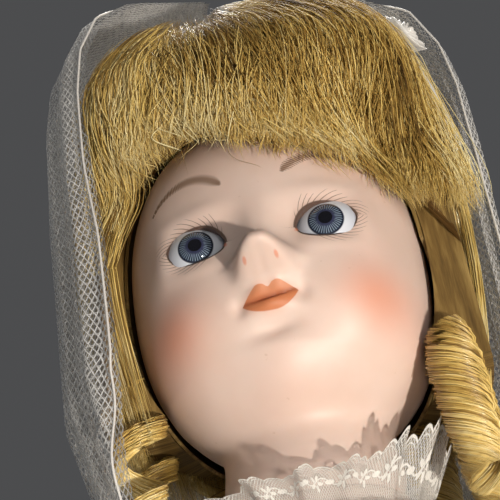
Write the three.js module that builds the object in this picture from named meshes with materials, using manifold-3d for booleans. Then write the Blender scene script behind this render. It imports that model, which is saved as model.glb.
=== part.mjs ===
// A collector's porcelain bride doll: bisque swivel head with set glass eyes, wig and tulle veil,
// porcelain shoulder plate, stuffed cotton body, wired arms, porcelain hands and legs, lace gown.
// Millimetres, +Z up. The doll faces -Y, its left hand is on +X, its soles stand on z = 0.
import * as THREE from "three";
import { mergeVertices } from "three/addons/utils/BufferGeometryUtils.js";
import Module from "manifold-3d";

const wasm = await Module();
wasm.setup();

// ---- driving dimensions ----
const HEAD_CENTRE = new THREE.Vector3(0, 2, 360);
const HEAD = { side: 32.5, front: 30.5, back: 34, up: 42, down: 41 }; // half sizes from the centre
const WALL = 2.8; // porcelain thickness
const NECK_AXIS_Y = 3;
const NECK_RADIUS = 16.8;
const NECK_BALL = { z: 318, radius: 17.8 }; // the dome that ends the neck, seated in the plate
const GAP = 0.45; // clearance between neighbouring pieces
const EYE = { x: 13.4, y: -18.6, z: 358.5, radius: 8 };
const EYE_OPENING = { half: 7.6, up: 4.7, down: 4.2, tilt: 0.05 };
const CROWN_CUT = { y: 2, z: 389, lean: 0.36 }; // the plane where the skull is left open
const HAIR = { side: 43, back: 41.5, front: 42, up: 66.5, power: 2.3 }; // half sizes of the dressed wig
const SHOULDER = { x: 50.5, y: 2, z: 284, splay: 17 }; // arm pivot, and degrees away from the body
const ARM_SIDE_PLANE = 43.4; // everything on an arm lies outside this x
const ELBOW_DROP = 60;
const ELBOW_REST = 14; // degrees that the forearm is bent forward as stored
const FOREARM = 48;
const HIP = { x: 19.5, y: 1, z: 178 };
const WAIST_Z = 230;
const SKIRT_HEM_Z = 46;
const SKIRT_FOLDS = 10;
const SOLE = 2.6;

const doll = new THREE.Group();

// ---- materials ----
const paint = (colour, roughness, metalness = 0) =>
  new THREE.MeshStandardMaterial({ color: colour, roughness, metalness });
const bisque = paint(0xe9c4b2, 0.55);
const bisqueInside = paint(0xefe2da, 0.8);
const glass = paint(0x5b6c86, 0.08);
const plaster = paint(0xe8e4da, 0.95);
const board = paint(0xb79a72, 0.9);
const netting = paint(0xd8c49c, 0.95);
const hair = paint(0xc79d4f, 0.35);
const cotton = paint(0xefe7d8, 0.95);
const satin = paint(0xf3efe8, 0.4);
const lace = paint(0xf1ece2, 0.85);
const tulle = paint(0xf4f1ec, 0.8);
const wood = paint(0xb98a5a, 0.7);
const steel = paint(0x9a9da0, 0.35, 1);
const shoeLeather = paint(0xf2efe9, 0.3);

// ---- solids from rings of points ----

// A closed mesh from vertices and triangles, turned so that its faces point out.
function closedGeometry(points, faces) {
  let volume = 0;
  const cross = new THREE.Vector3();
  for (const [a, b, c] of faces) {
    volume += points[a].dot(cross.crossVectors(points[b], points[c])) / 6;
  }
  const turned = volume < 0 ? faces.map(([a, b, c]) => [a, c, b]) : faces;
  const geometry = new THREE.BufferGeometry().setFromPoints(points);
  geometry.setIndex(turned.flat());
  return geometry;
}

// Joins rings of equal length. A looped loft is a tube wall; an open one is capped at both ends.
function loft(rings, looped = false) {
  const count = rings[0].length;
  const points = rings.flat();
  const faces = [];
  const spans = looped ? rings.length : rings.length - 1;
  for (let i = 0; i < spans; i += 1) {
    const low = i * count;
    const high = ((i + 1) % rings.length) * count;
    for (let j = 0; j < count; j += 1) {
      const next = (j + 1) % count;
      faces.push([low + j, low + next, high + next], [low + j, high + next, high + j]);
    }
  }
  if (!looped) {
    for (const [ring, start, flip] of [
      [rings[0], 0, true],
      [rings.at(-1), (rings.length - 1) * count, false],
    ]) {
      const middle = new THREE.Vector3();
      ring.forEach((p) => middle.addScaledVector(p, 1 / count));
      const tip = points.push(middle) - 1;
      for (let j = 0; j < count; j += 1) {
        const next = (j + 1) % count;
        faces.push(flip ? [start + next, start + j, tip] : [start + j, start + next, tip]);
      }
    }
  }
  return closedGeometry(points, faces);
}

// One level of a body: {z, rx, ry, x, y, wave, folds, shift}.
function ring(level, count) {
  const { z, rx, ry = rx, x = 0, y = 0, wave = 0, folds = 0, shift = 0 } = level;
  return Array.from({ length: count }, (_, j) => {
    const turn = (2 * Math.PI * j) / count;
    const swell = wave * Math.cos(folds * turn + shift);
    return new THREE.Vector3(
      x + (rx + swell) * Math.cos(turn),
      y + (ry + swell) * Math.sin(turn),
      z,
    );
  });
}

const body = (levels, count = 20) => loft(levels.map((level) => ring(level, count)));

// A sleeve-like wall: the levels are its inside, and the wall stands outside them.
function wall(levels, thickness, count = 24) {
  const outside = levels.map((l) => ({ ...l, rx: l.rx + thickness, ry: (l.ry ?? l.rx) + thickness }));
  return loft([...outside, ...levels.toReversed()].map((l) => ring(l, count)), true);
}

// A round tube of the given radius along a list of points.
function rod(points, radius, count = 8) {
  const curve = new THREE.CatmullRomCurve3(points);
  const steps = (points.length - 1) * 2;
  const frames = curve.computeFrenetFrames(steps, false);
  const rings = Array.from({ length: steps + 1 }, (_, i) => {
    const centre = curve.getPointAt(i / steps);
    return Array.from({ length: count }, (_unused, j) => {
      const turn = (2 * Math.PI * j) / count;
      return centre
        .clone()
        .addScaledVector(frames.normals[i], radius * Math.cos(turn))
        .addScaledVector(frames.binormals[i], radius * Math.sin(turn));
    });
  });
  return loft(rings);
}

// ---- booleans ----
function toSolid(geometry) {
  const bare = geometry.index ? geometry.toNonIndexed() : geometry.clone();
  for (const name of Object.keys(bare.attributes)) {
    if (name !== "position") bare.deleteAttribute(name);
  }
  const merged = mergeVertices(bare, 1e-4);
  const vertProperties = new Float32Array(merged.attributes.position.array);
  const triVerts = new Uint32Array(merged.index.array);
  return new wasm.Manifold(new wasm.Mesh({ numProp: 3, vertProperties, triVerts }));
}

function toGeometry(solid) {
  const mesh = solid.getMesh();
  const places = new Float32Array(mesh.numVert * 3);
  for (let i = 0; i < mesh.numVert; i += 1) {
    const start = i * mesh.numProp;
    places.set(mesh.vertProperties.subarray(start, start + 3), i * 3);
  }
  const geometry = new THREE.BufferGeometry();
  geometry.setAttribute("position", new THREE.BufferAttribute(places, 3));
  geometry.setIndex(new THREE.BufferAttribute(new Uint32Array(mesh.triVerts), 1));
  return geometry;
}

// The largest separate piece of a solid, without any slivers that a cut leaves.
function largest(solid) {
  return solid.decompose().sort((a, b) => b.volume() - a.volume())[0];
}

const box = (x0, y0, z0, x1, y1, z1) =>
  toSolid(
    new THREE.BoxGeometry(x1 - x0, y1 - y0, z1 - z0).translate(
      (x0 + x1) / 2,
      (y0 + y1) / 2,
      (z0 + z1) / 2,
    ),
  );
const ball = (x, y, z, radius, detail = 16) =>
  toSolid(new THREE.SphereGeometry(radius, detail, Math.round(detail * 0.7)).translate(x, y, z));
const upright = (x, y, z0, z1, radius, detail = 16) =>
  toSolid(
    new THREE.CylinderGeometry(radius, radius, z1 - z0, detail)
      .rotateX(Math.PI / 2)
      .translate(x, y, (z0 + z1) / 2),
  );

// Everything above a plane through (0, y, z) that leans back by `lean` radians.
function above(y, z, lean) {
  const slab = new THREE.BoxGeometry(300, 300, 200).translate(0, 0, 100);
  return toSolid(slab.rotateX(-lean).translate(0, y, z));
}

// ---- adding pieces ----
function add(name, geometry, material, parent = doll) {
  const mesh = new THREE.Mesh(geometry, material);
  mesh.name = name;
  parent.add(mesh);
  return mesh;
}
const SIDES = [
  ["left", 1],
  ["right", -1],
];

// ---- head ----

// Raises a rounded hill of the given height where a direction points near `centre`.
function hill(direction, centre, spread, height) {
  const angle = direction.angleTo(centre);
  return height * Math.exp(-((angle / spread) ** 2));
}
const CHEEKS = [1, -1].map((s) => new THREE.Vector3(s * 0.62, -0.6, -0.42).normalize());
const NOSE = new THREE.Vector3(0, -0.95, -0.36).normalize();
const CHIN = new THREE.Vector3(0, -0.6, -0.95).normalize();

function headRadius(direction) {
  const reach = [
    Math.abs(direction.x) / HEAD.side,
    Math.abs(direction.y) / (direction.y < 0 ? HEAD.front : HEAD.back),
    Math.abs(direction.z) / (direction.z > 0 ? HEAD.up : HEAD.down),
  ];
  const power = 2.15;
  const base = reach.reduce((sum, r) => sum + r ** power, 0) ** (-1 / power);
  const cheeks = CHEEKS.reduce((sum, c) => sum + hill(direction, c, 0.42, 1.6), 0);
  return base + cheeks + hill(direction, NOSE, 0.13, 5.5) + hill(direction, CHIN, 0.3, 2.2);
}

// The head's outside, moved outwards by `offset`, as a closed ball.
function headBall(offset, across = 20, down = 12) {
  const rings = [];
  for (let i = 0; i < down; i += 1) {
    const tilt = Math.PI * (1 - (i + 0.5) / down);
    rings.push(
      Array.from({ length: across }, (_, j) => {
        const turn = (2 * Math.PI * (j + 0.5)) / across - Math.PI / 2;
        const direction = new THREE.Vector3(
          Math.sin(tilt) * Math.cos(turn),
          Math.sin(tilt) * Math.sin(turn),
          Math.cos(tilt),
        );
        return direction.multiplyScalar(headRadius(direction) + offset).add(HEAD_CENTRE);
      }),
    );
  }
  return toSolid(loft(rings));
}

// The neck with its dome end, at a distance `inset` under the surface.
function neckStem(inset) {
  const levels = [];
  const reach = NECK_BALL.radius - inset;
  for (const angle of [0.08, 0.3, 0.55, 0.8, 1.0]) {
    levels.push({ z: NECK_BALL.z - reach * Math.cos(angle), rx: reach * Math.sin(angle) });
  }
  levels.push({ z: 313.5, rx: reach * 0.96 });
  levels.push({ z: 321, rx: NECK_RADIUS - inset });
  levels.push({ z: 340, rx: NECK_RADIUS - 0.6 - inset });
  return toSolid(body(levels.map((l) => ({ ...l, y: NECK_AXIS_Y })), 18));
}

// The almond prism of one eye opening, cut along Y.
function eyeCut(side) {
  const { half, up, down, tilt } = EYE_OPENING;
  const outline = new THREE.Shape();
  outline.moveTo(-half, -0.3);
  outline.quadraticCurveTo(-half * 0.55, up * 1.02, 0, up);
  outline.quadraticCurveTo(half * 0.65, up * 0.98, half, 0.3);
  outline.quadraticCurveTo(half * 0.6, -down, 0, -down);
  outline.quadraticCurveTo(-half * 0.6, -down, -half, -0.3);
  const prism = new THREE.ExtrudeGeometry(outline, { depth: 24, bevelEnabled: false, curveSegments: 4 });
  prism.rotateX(Math.PI / 2).rotateY(-side * tilt);
  return toSolid(prism.translate(side * EYE.x, EYE.y, EYE.z));
}

const skullPlane = above(CROWN_CUT.y, CROWN_CUT.z, CROWN_CUT.lean);
const skullPlaneRaised = above(CROWN_CUT.y, CROWN_CUT.z + GAP, CROWN_CUT.lean);
const cavity = headBall(-WALL).add(neckStem(WALL));
const neckHole = upright(0, NECK_AXIS_Y, 295, 325, 2.4, 10);
let headShell = headBall(0, 26, 16).add(neckStem(0)).subtract(cavity).subtract(skullPlane).subtract(neckHole);
for (const [, side] of SIDES) {
  headShell = headShell.subtract(eyeCut(side));
  headShell = headShell.subtract(ball(side * EYE.x, EYE.y, EYE.z, EYE.radius + GAP));
}
add("head_shell", toGeometry(largest(headShell)), bisque);

// A glass eye: a ball with a clear front bulge and a short blown stem behind.
function eyeball() {
  const { radius } = EYE;
  const profile = [new THREE.Vector2(0, -radius - 3), new THREE.Vector2(1.6, -radius - 3)];
  for (let a = -72; a <= 72; a += 24) {
    const angle = THREE.MathUtils.degToRad(a);
    profile.push(new THREE.Vector2(radius * Math.cos(angle), radius * Math.sin(angle)));
  }
  profile.push(new THREE.Vector2(0, radius));
  return new THREE.LatheGeometry(profile, 16).rotateX(Math.PI);
}
const puttyRoom = headBall(-WALL - GAP);
for (const [name, side] of SIDES) {
  add(`eye_${name}`, eyeball().translate(side * EYE.x, EYE.y, EYE.z), glass);
  const seat = new THREE.CylinderGeometry(11, 10, 7, 14).translate(side * EYE.x, EYE.y + 0.5, EYE.z);
  const putty = toSolid(seat)
    .subtract(ball(side * EYE.x, EYE.y, EYE.z, EYE.radius + GAP))
    .subtract(toSolid(new THREE.CylinderGeometry(5.6, 5.6, 30, 12).translate(side * EYE.x, EYE.y, EYE.z)))
    .intersect(puttyRoom);
  add(`eye_putty_${name}`, toGeometry(largest(putty)), plaster);
}

const pate = headBall(-0.2).subtract(headBall(-1.6)).intersect(skullPlaneRaised);
add("crown_pate", toGeometry(largest(pate)), board);
const cap = headBall(1.8).subtract(headBall(1.1)).intersect(above(2, 352, 0.7));
add("wig_cap", toGeometry(largest(cap)), netting);

// ---- swivel neck hardware ----
const buttonDome = [0.24, 0.5, 0.75, 0.95].map((angle) => ({
  z: NECK_BALL.z - (NECK_BALL.radius - WALL - GAP) * Math.cos(angle),
  rx: (NECK_BALL.radius - WALL - GAP) * Math.sin(angle),
}));
const buttonLevels = [...buttonDome, { z: 312, rx: 11.4 }, { z: 314, rx: 10 }];
const button = toSolid(body(buttonLevels.map((l) => ({ ...l, y: NECK_AXIS_Y })), 14));
add("neck_button", toGeometry(button.subtract(upright(0, NECK_AXIS_Y, 290, 330, 2, 8))), wood);
const bolt = upright(0, NECK_AXIS_Y, 288, 315, 1.5, 10).add(upright(0, NECK_AXIS_Y, 314.3, 316, 4.2, 10));
add("neck_bolt", toGeometry(bolt), steel);
const washer = wall([{ z: 296, rx: 1.9, y: NECK_AXIS_Y }, { z: 297, rx: 1.9, y: NECK_AXIS_Y }], 4.6, 16);
add("neck_washer", washer, steel);
const coil = Array.from({ length: 19 }, (_, i) => {
  const turn = (i / 6) * 2 * Math.PI;
  return new THREE.Vector3(3.4 * Math.cos(turn), NECK_AXIS_Y + 3.4 * Math.sin(turn), 291.4 + i * 0.22);
});
add("neck_spring", rod(coil, 0.4, 5), steel);
const nut = wall([{ z: 288.6, rx: 1.9, y: NECK_AXIS_Y }, { z: 290.5, rx: 1.9, y: NECK_AXIS_Y }], 3, 6);
add("neck_nut", nut, steel);

// ---- shoulder plate and stuffed torso ----
const plateOutside = [
  { z: 266, rx: 39, ry: 25, y: 1 },
  { z: 276, rx: 39.5, ry: 24.5, y: 1 },
  { z: 285, rx: 39, ry: 23.5, y: 1 },
  { z: 291, rx: 35.5, ry: 22, y: 1.6 },
  { z: 296.5, rx: 28, ry: 20.6, y: 2.4 },
  { z: 302, rx: 21, ry: 19.4, y: 3 },
  { z: 308.5, rx: 18.4, ry: 18.2, y: 3 },
];
const inward = (levels, by, drop = 0) =>
  levels.map((l) => ({ ...l, rx: l.rx - by, ry: (l.ry ?? l.rx) - by, z: l.z - drop }));
const plateHollow = inward(plateOutside.slice(0, 6), WALL, 1.4);
plateHollow[0].z -= 6;
const socket = ball(0, NECK_AXIS_Y, NECK_BALL.z, NECK_BALL.radius + GAP, 22);
const cup = ball(0, NECK_AXIS_Y, NECK_BALL.z, NECK_BALL.radius + 3.2, 18);
const plate = toSolid(body(plateOutside, 18))
  .subtract(toSolid(body(plateHollow, 18)).subtract(cup))
  .subtract(socket)
  .subtract(upright(0, NECK_AXIS_Y, 285, 325, 3, 12));
add("shoulder_plate", toGeometry(largest(plate)), bisque);

const torsoLevels = [
  { z: 191.5, rx: 17, ry: 13 },
  { z: 195.5, rx: 27, ry: 19 },
  { z: 204, rx: 30.5, ry: 21 },
  { z: 218, rx: 28.5, ry: 20 },
  { z: WAIST_Z + 2, rx: 25.5, ry: 18 },
  { z: 250, rx: 28.5, ry: 19 },
  { z: 266, rx: 33.5, ry: 20.5 },
  { z: 276, rx: 33.5, ry: 20 },
  { z: 283, rx: 26, ry: 16 },
  { z: 285.6, rx: 14, ry: 10 },
].map((l) => ({ ...l, y: 1 }));
add("torso_body", body(torsoLevels, 18), cotton);

// ---- gown ----
const bodiceLevels = [
  { z: WAIST_Z, rx: 26.6, ry: 19.2 },
  { z: 248, rx: 30, ry: 21 },
  { z: 259, rx: 36, ry: 24 },
  { z: 266, rx: 40, ry: 26 },
  { z: 280, rx: 40.4, ry: 25.4 },
  { z: 287.5, rx: 39.4, ry: 24.9 },
  { z: 297, rx: 29.6, ry: 22.4, y: 2 },
].map((l) => ({ y: 1, ...l }));
add("bodice", wall(bodiceLevels, 0.9, 20), satin);
const flatCollar = [
  { z: 291.6, rx: 39.8, ry: 28, wave: 1.1, folds: 12 },
  { z: 298, rx: 31.8, ry: 25, wave: 0.6, folds: 12 },
  { z: 303, rx: 22.4, ry: 20.6 },
].map((l) => ({ ...l, y: 2 }));
add("lace_collar", wall(flatCollar, 0.8, 36), lace);
const standing = [
  { z: 304.2, rx: 20.2 },
  { z: 306.5, rx: 20, wave: 0.5, folds: 12 },
  { z: 311.5, rx: 23, wave: 1.2, folds: 12 },
].map((l) => ({ ...l, y: NECK_AXIS_Y }));
add("neck_ruffle", wall(standing, 0.7, 36), lace);
const sashLevels = [
  { z: 226.5, rx: 29.6, ry: 22.4 },
  { z: 231, rx: 28.9, ry: 21.6 },
  { z: 237, rx: 29.4, ry: 21.6 },
].map((l) => ({ ...l, y: 1 }));
add("waist_sash", wall(sashLevels, 0.9, 24), satin);

// The bow at the back of the sash: two loops, two tails and a knot in one piece.
function bow() {
  let made = toSolid(new THREE.SphereGeometry(4, 10, 6).scale(1, 0.8, 1.1));
  for (const [, side] of SIDES) {
    const loop = new THREE.TorusGeometry(6.4, 2.2, 5, 10).scale(1.25, 0.7, 0.8).translate(side * 9.6, 0, 2);
    made = made.add(toSolid(loop.rotateX(0.2)));
    const tail = body(
      [
        { z: -34, rx: 6, ry: 0.9, x: side * 11, y: 5 },
        { z: -16, rx: 4.6, ry: 0.9, x: side * 7, y: 2.4 },
        { z: 0, rx: 2.6, ry: 1.2, x: side * 1 },
      ],
      8,
    );
    made = made.add(toSolid(tail));
  }
  return made;
}
const bowAt = new THREE.Vector3(0, 27.4, 233);
const backOfSash = toSolid(body(sashLevels.map((l) => ({ ...l, rx: l.rx + 1.4, ry: l.ry + 1.4 })), 24));
const bowPiece = bow().translate([bowAt.x, bowAt.y, bowAt.z]).subtract(backOfSash);

function skirtLevels(inset, waveScale, hem) {
  const shape = [
    [226, 27.6, 20.4, 0],
    [218, 36, 29.5, 0.6],
    [200, 51, 46, 1.8],
    [160, 71, 67, 3],
    [104, 94, 91, 4.2],
    [SKIRT_HEM_Z, 107, 105, 4.8],
  ];
  const levels = shape.map(([z, rx, ry, wave], i) => ({
    z: i === shape.length - 1 ? hem : z,
    rx: rx - (i === 0 ? inset * 0.1 : inset),
    ry: ry - (i === 0 ? inset * 0.1 : inset),
    y: i < 2 ? 1 - i * 0.5 : 0,
    wave: wave * waveScale,
    folds: SKIRT_FOLDS,
  }));
  return levels.toReversed();
}
add("skirt", wall(skirtLevels(0, 1, SKIRT_HEM_Z), 1.2, 40), satin);
const petticoat = skirtLevels(6.5, 0.5, SKIRT_HEM_Z + 6).slice(0, -1);
petticoat.push({ z: 219, rx: 28.4, ry: 22, y: 0.6 });
add("petticoat", wall(petticoat, 1, 30), tulle);
const hemLace = [
  { z: SKIRT_HEM_Z - 8, rx: 110.2, ry: 108.2, wave: 5, folds: SKIRT_FOLDS },
  { z: SKIRT_HEM_Z - 0.6, rx: 107.8, ry: 105.8, wave: 4.8, folds: SKIRT_FOLDS },
];
add("hem_lace", wall(hemLace, 0.9, 40), lace);
const skirtKeepOut = toSolid(body(skirtLevels(-1.8, 1, SKIRT_HEM_Z), 40));
add("sash_bow", toGeometry(largest(bowPiece.subtract(skirtKeepOut))), satin);

// ---- wig ----

// The dressed wig's outside: a high dome over the skull that falls straight at the sides and back.
function domeReach(rise) {
  return (1 - Math.min(1, rise / HAIR.up) ** HAIR.power) ** (1 / HAIR.power);
}
function hairDome() {
  const levels = [
    { z: 330.5, rx: HAIR.side - 1, ry: HAIR.back - 3.5, y: 5 },
    { z: 345, rx: HAIR.side, ry: HAIR.back - 1.5, y: 4 },
  ];
  for (const share of [0, 0.29, 0.54, 0.73, 0.865, 0.957, 0.995]) {
    const rise = share * HAIR.up;
    const reach = domeReach(rise);
    levels.push({ z: 360 + rise, rx: HAIR.side * reach, ry: ((HAIR.back + HAIR.front) / 2) * reach, y: 2.5 });
  }
  return toSolid(body(levels, 22));
}
// The window that the face looks out of, seen from the front.
function faceWindow(half, top) {
  const outline = new THREE.Shape();
  outline.moveTo(-half - 4, 300);
  outline.lineTo(-half, 345);
  outline.quadraticCurveTo(-half * 0.98, top, 0, top + 2.5);
  outline.quadraticCurveTo(half * 0.98, top, half, 345);
  outline.lineTo(half + 4, 300);
  const prism = new THREE.ExtrudeGeometry(outline, { depth: 60, bevelEnabled: false, curveSegments: 5 });
  return toSolid(prism.rotateX(Math.PI / 2).translate(0, -4, 0));
}
const loose = hairDome()
  .subtract(headBall(2.6))
  .subtract(upright(0, NECK_AXIS_Y, 300, 336, 24, 20));
const hairMass = loose.subtract(faceWindow(26, 377)).subtract(box(-21.4, -60, 360, 21.4, -12.6, 402.4));
add("wig_hair", toGeometry(largest(hairMass)), hair);
const bangs = loose.intersect(box(-21, -60, 370, 21, -13, 402)).subtract(faceWindow(23, 374));
add("wig_bangs", toGeometry(largest(bangs)), hair);

// A hanging curl: a fat tapering roll with a spiral waist.
function ringlet(angle, lean) {
  const turn = THREE.MathUtils.degToRad(angle);
  const rings = [];
  const [top, bottom, steps] = [329.9, 304.4, 6];
  for (let i = 0; i <= steps; i += 1) {
    const down = i / steps;
    const spiral = down * 2.2 * Math.PI + turn;
    const reach = 34.6 + lean * down;
    const fat = 6.1 - 2.3 * down * down;
    rings.unshift(
      ring(
        {
          z: top + (bottom - top) * down,
          rx: fat,
          x: reach * Math.sin(turn) + 0.8 * Math.cos(spiral),
          y: 4 - reach * Math.cos(turn) + 0.8 * Math.sin(spiral),
        },
        8,
      ),
    );
  }
  return loft(rings);
}
[66, 100, 136, 180, 224, 260, 294].forEach((angle, i) => {
  add(`ringlet_${i + 1}`, ringlet(angle, 1.5), hair);
});

// ---- headpiece and veil ----
const BAND = { lift: 2.2, radius: 1.4, y: 0 };
function bandPoint(angle, lift = 0) {
  const [across, up] = [Math.cos(angle), Math.sin(angle)];
  const reach = [Math.abs(across) / (HAIR.side + BAND.lift), up / (HAIR.up + BAND.lift)];
  const out = (reach[0] ** HAIR.power + reach[1] ** HAIR.power) ** (-1 / HAIR.power) + lift;
  return new THREE.Vector3(out * across, BAND.y, 360 + out * up);
}
const bandPath = Array.from({ length: 11 }, (_, i) => bandPoint(0.5 + (i / 10) * (Math.PI - 1)));
add("headband", rod(bandPath, BAND.radius, 6), satin);
// A gathered rosette whose back lies on the band.
function rosette(angle) {
  const profile = [
    [0, 0],
    [5.6, 0.2],
    [7.2, 2.2],
    [5.2, 4.6],
    [2.4, 4.4],
    [1.4, 5.4],
    [0, 5.6],
  ].map(([r, h]) => new THREE.Vector2(r, h));
  const flower = new THREE.LatheGeometry(profile, 12);
  flower.rotateX(Math.PI / 2).rotateY(Math.PI / 2 - angle);
  const at = bandPoint(angle, BAND.radius + 1);
  return flower.translate(at.x, at.y - 4.6, at.z);
}
[
  ["left", 0.98],
  ["middle", Math.PI / 2],
  ["right", Math.PI - 0.98],
].forEach(([name, angle]) => add(`rosette_${name}`, rosette(angle), satin));

// The veil falls from behind the band round the back of the hair, further forward on the right.
const VEIL_LEVELS = [
  { z: 212, rx: 51, ry: 48, wave: 2.4 },
  { z: 262, rx: 50, ry: 47, wave: 1.8 },
  { z: 303, rx: 48.8, ry: 45, wave: 1.2 },
  { z: 335, rx: 48.6, ry: 45, wave: 0.8 },
  { z: 362, rx: 48.2, ry: 45.4, wave: 0.4 },
  { z: 384.4, rx: 46.8, ry: 44.6 },
  { z: 401.4, rx: 42.2, ry: 41.2 },
  { z: 415, rx: 34, ry: 34.6 },
  { z: 425, rx: 22.6, ry: 24 },
  { z: 431.2, rx: 9, ry: 10 },
].map((l) => ({ ...l, y: 5, folds: 16 }));
// The outline of one side of the veil, seen from that side: [y, z] from the crown down.
function veilSide(side, outline) {
  const shape = new THREE.Shape([[60, 450], ...outline, [60, 303]].map(([y, z]) => new THREE.Vector2(y, z)));
  const prism = new THREE.ExtrudeGeometry(shape, { depth: 60, bevelEnabled: false });
  prism.rotateX(Math.PI / 2).rotateZ(Math.PI / 2);
  return toSolid(prism.translate(side < 0 ? -60 : 0, 0, 0));
}
const VEIL_FRONT = {
  left: [[3.6, 450], [3.6, 392], [0, 368], [0, 303]],
  right: [[3.6, 450], [3.6, 394], [-10, 382], [-22, 366], [-27, 342], [-27, 303]],
};
const veilRoom = veilSide(1, VEIL_FRONT.left)
  .add(veilSide(-1, VEIL_FRONT.right))
  .add(box(-41, 10, 200, 41, 70, 303.5));
const veilInside = VEIL_LEVELS.map((l) => ({ ...l, rx: l.rx - 0.9, ry: l.ry - 0.9, z: l.z - 0.6 }));
const veil = toSolid(body(VEIL_LEVELS, 40)).subtract(toSolid(body(veilInside, 40))).intersect(veilRoom);
add("veil", toGeometry(largest(veil)), tulle);

// ---- arms ----
const outsideBody = (side) =>
  side > 0 ? box(ARM_SIDE_PLANE, -90, 0, 200, 90, 400) : box(-200, -90, 0, -ARM_SIDE_PLANE, 90, 400);

// A geometry built hanging down from the origin, placed at the shoulder and splayed outwards.
function atShoulder(geometry, side) {
  const splay = THREE.MathUtils.degToRad(SHOULDER.splay);
  return geometry.rotateY(-side * splay).translate(side * SHOULDER.x, SHOULDER.y, SHOULDER.z);
}
function atElbow(geometry, side) {
  const bend = THREE.MathUtils.degToRad(ELBOW_REST);
  return atShoulder(geometry.rotateX(-bend).translate(0, 0, -ELBOW_DROP), side);
}

// A finger or thumb: a capsule between two points that narrows to its tip.
function finger(from, to, radius) {
  const along = to.clone().sub(from);
  const turn = new THREE.Quaternion().setFromUnitVectors(new THREE.Vector3(0, 0, 1), along.clone().normalize());
  const length = along.length();
  const levels = [
    { z: -radius * 0.6, rx: radius * 0.7 },
    { z: 0, rx: radius },
    { z: length * 0.6, rx: radius * 0.9 },
    { z: length - radius * 0.2, rx: radius * 0.66 },
    { z: length + radius * 0.3, rx: radius * 0.2 },
  ];
  return toSolid(body(levels, 6).applyQuaternion(turn).translate(from.x, from.y, from.z));
}

// Forearm and hand in one casting, hanging from the elbow ball at the origin, palm to the body.
function forearm(side) {
  const arm = [
    { z: 7.6, rx: 2.4 },
    { z: 5.6, rx: 5.6 },
    { z: 0, rx: 7.9 },
    { z: -10, rx: 7.9 },
    { z: -26, rx: 6.9, ry: 6.7 },
    { z: -FOREARM + 4, rx: 4.7, ry: 5.2 },
    { z: -FOREARM, rx: 4.3, ry: 5.6 },
    { z: -FOREARM - 6, rx: 3.9, ry: 7.2 },
    { z: -FOREARM - 13, rx: 3.2, ry: 7.4 },
    { z: -FOREARM - 16, rx: 2.2, ry: 6.4 },
  ];
  let made = toSolid(body(arm, 12));
  const knuckles = -FOREARM - 13;
  [-5.1, -1.8, 1.6, 4.8].forEach((y, i) => {
    const reach = [9.4, 11.4, 10.6, 8][i];
    const from = new THREE.Vector3(0, y, knuckles);
    const to = new THREE.Vector3(-side * 2.6, y * 1.12, knuckles - reach);
    made = made.add(finger(from, to, 1.75));
  });
  const thumbRoot = new THREE.Vector3(-side * 1.4, -5.4, -FOREARM - 4);
  const thumbTip = new THREE.Vector3(-side * 4.4, -9.4, -FOREARM - 13.5);
  return toGeometry(made.add(finger(thumbRoot, thumbTip, 2)));
}

for (const [name, side] of SIDES) {
  const cut = outsideBody(side);
  const trimmed = (geometry) => toGeometry(largest(toSolid(atShoulder(geometry, side)).intersect(cut)));
  const upperArm = wall(
    [
      { z: -51, rx: 1.3 },
      { z: 5, rx: 1.3 },
    ],
    6.9,
    16,
  );
  add(`upper_arm_${name}`, trimmed(upperArm), cotton);
  const wire = rod([0, 1, 2, 3].map((i) => new THREE.Vector3(0, 0, -49 + i * 17.4)), 0.8, 6);
  add(`arm_wire_${name}`, atShoulder(wire, side), steel);
  const puff = [
    { z: -42, rx: 9 },
    { z: -37, rx: 13, wave: 0.6, folds: 8 },
    { z: -26, rx: 16.4, wave: 0.9, folds: 8 },
    { z: -8, rx: 16, wave: 0.5, folds: 8 },
    { z: 5, rx: 12 },
    { z: 11, rx: 5 },
  ];
  add(`sleeve_puff_${name}`, trimmed(wall(puff, 0.9, 16)), satin);
  const band = wall([{ z: -45.6, rx: 9 }, { z: -42.5, rx: 9 }], 1.2, 16);
  add(`sleeve_band_${name}`, trimmed(band), satin);
  const ruffle = wall(
    [
      { z: -56, rx: 14.4, wave: 1.3, folds: 9 },
      { z: -46, rx: 9.3, wave: 0.2, folds: 9 },
    ],
    0.7,
    27,
  );
  add(`sleeve_ruffle_${name}`, trimmed(ruffle), lace);
  add(`forearm_${name}`, atElbow(forearm(side), side), bisque);
}

// ---- legs ----
// The foot along -Y, as ellipses from heel to toe: {y, half width, half height, height of its middle}.
const FOOT = [
  [12.5, 3, 3, 9],
  [10.5, 6.6, 6.2, 9.6],
  [3, 8.2, 7.4, 10.4],
  [-6, 8.4, 6.6, 9.6],
  [-15, 9, 5, 8],
  [-23, 8.6, 4, 7],
  [-29, 5.6, 2.8, 6.2],
  [-31, 2, 1.4, 5.8],
];
function footSolid(grow, lift = 0) {
  const rings = FOOT.map(([y, half, tall, middle], i) => {
    const end = i === 0 ? grow : i === FOOT.length - 1 ? -grow : 0;
    return Array.from({ length: 10 }, (_, j) => {
      const turn = (2 * Math.PI * j) / 10;
      const across = (half + grow) * Math.cos(turn);
      const up = Math.max(middle + (tall + grow) * Math.sin(turn), SOLE + 0.6 + lift - grow);
      return new THREE.Vector3(across, y + end, up);
    });
  });
  return toSolid(loft(rings));
}
const LEG = [
  { z: 12, rx: 6.6, ry: 7, y: 3.5 },
  { z: 24, rx: 6.6, ry: 7, y: 3 },
  { z: 34, rx: 7.4, ry: 7.8, y: 2.6 },
  { z: 54, rx: 10, ry: 10.6, y: 2.6 },
  { z: 70, rx: 10.4, ry: 10.8, y: 2.4 },
  { z: 86, rx: 9.4, ry: 9.8, y: 1.6 },
  { z: 97, rx: 9.8, ry: 10, y: 1 },
  { z: 101, rx: 9.6, ry: 9.8, y: 1 },
];

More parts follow.
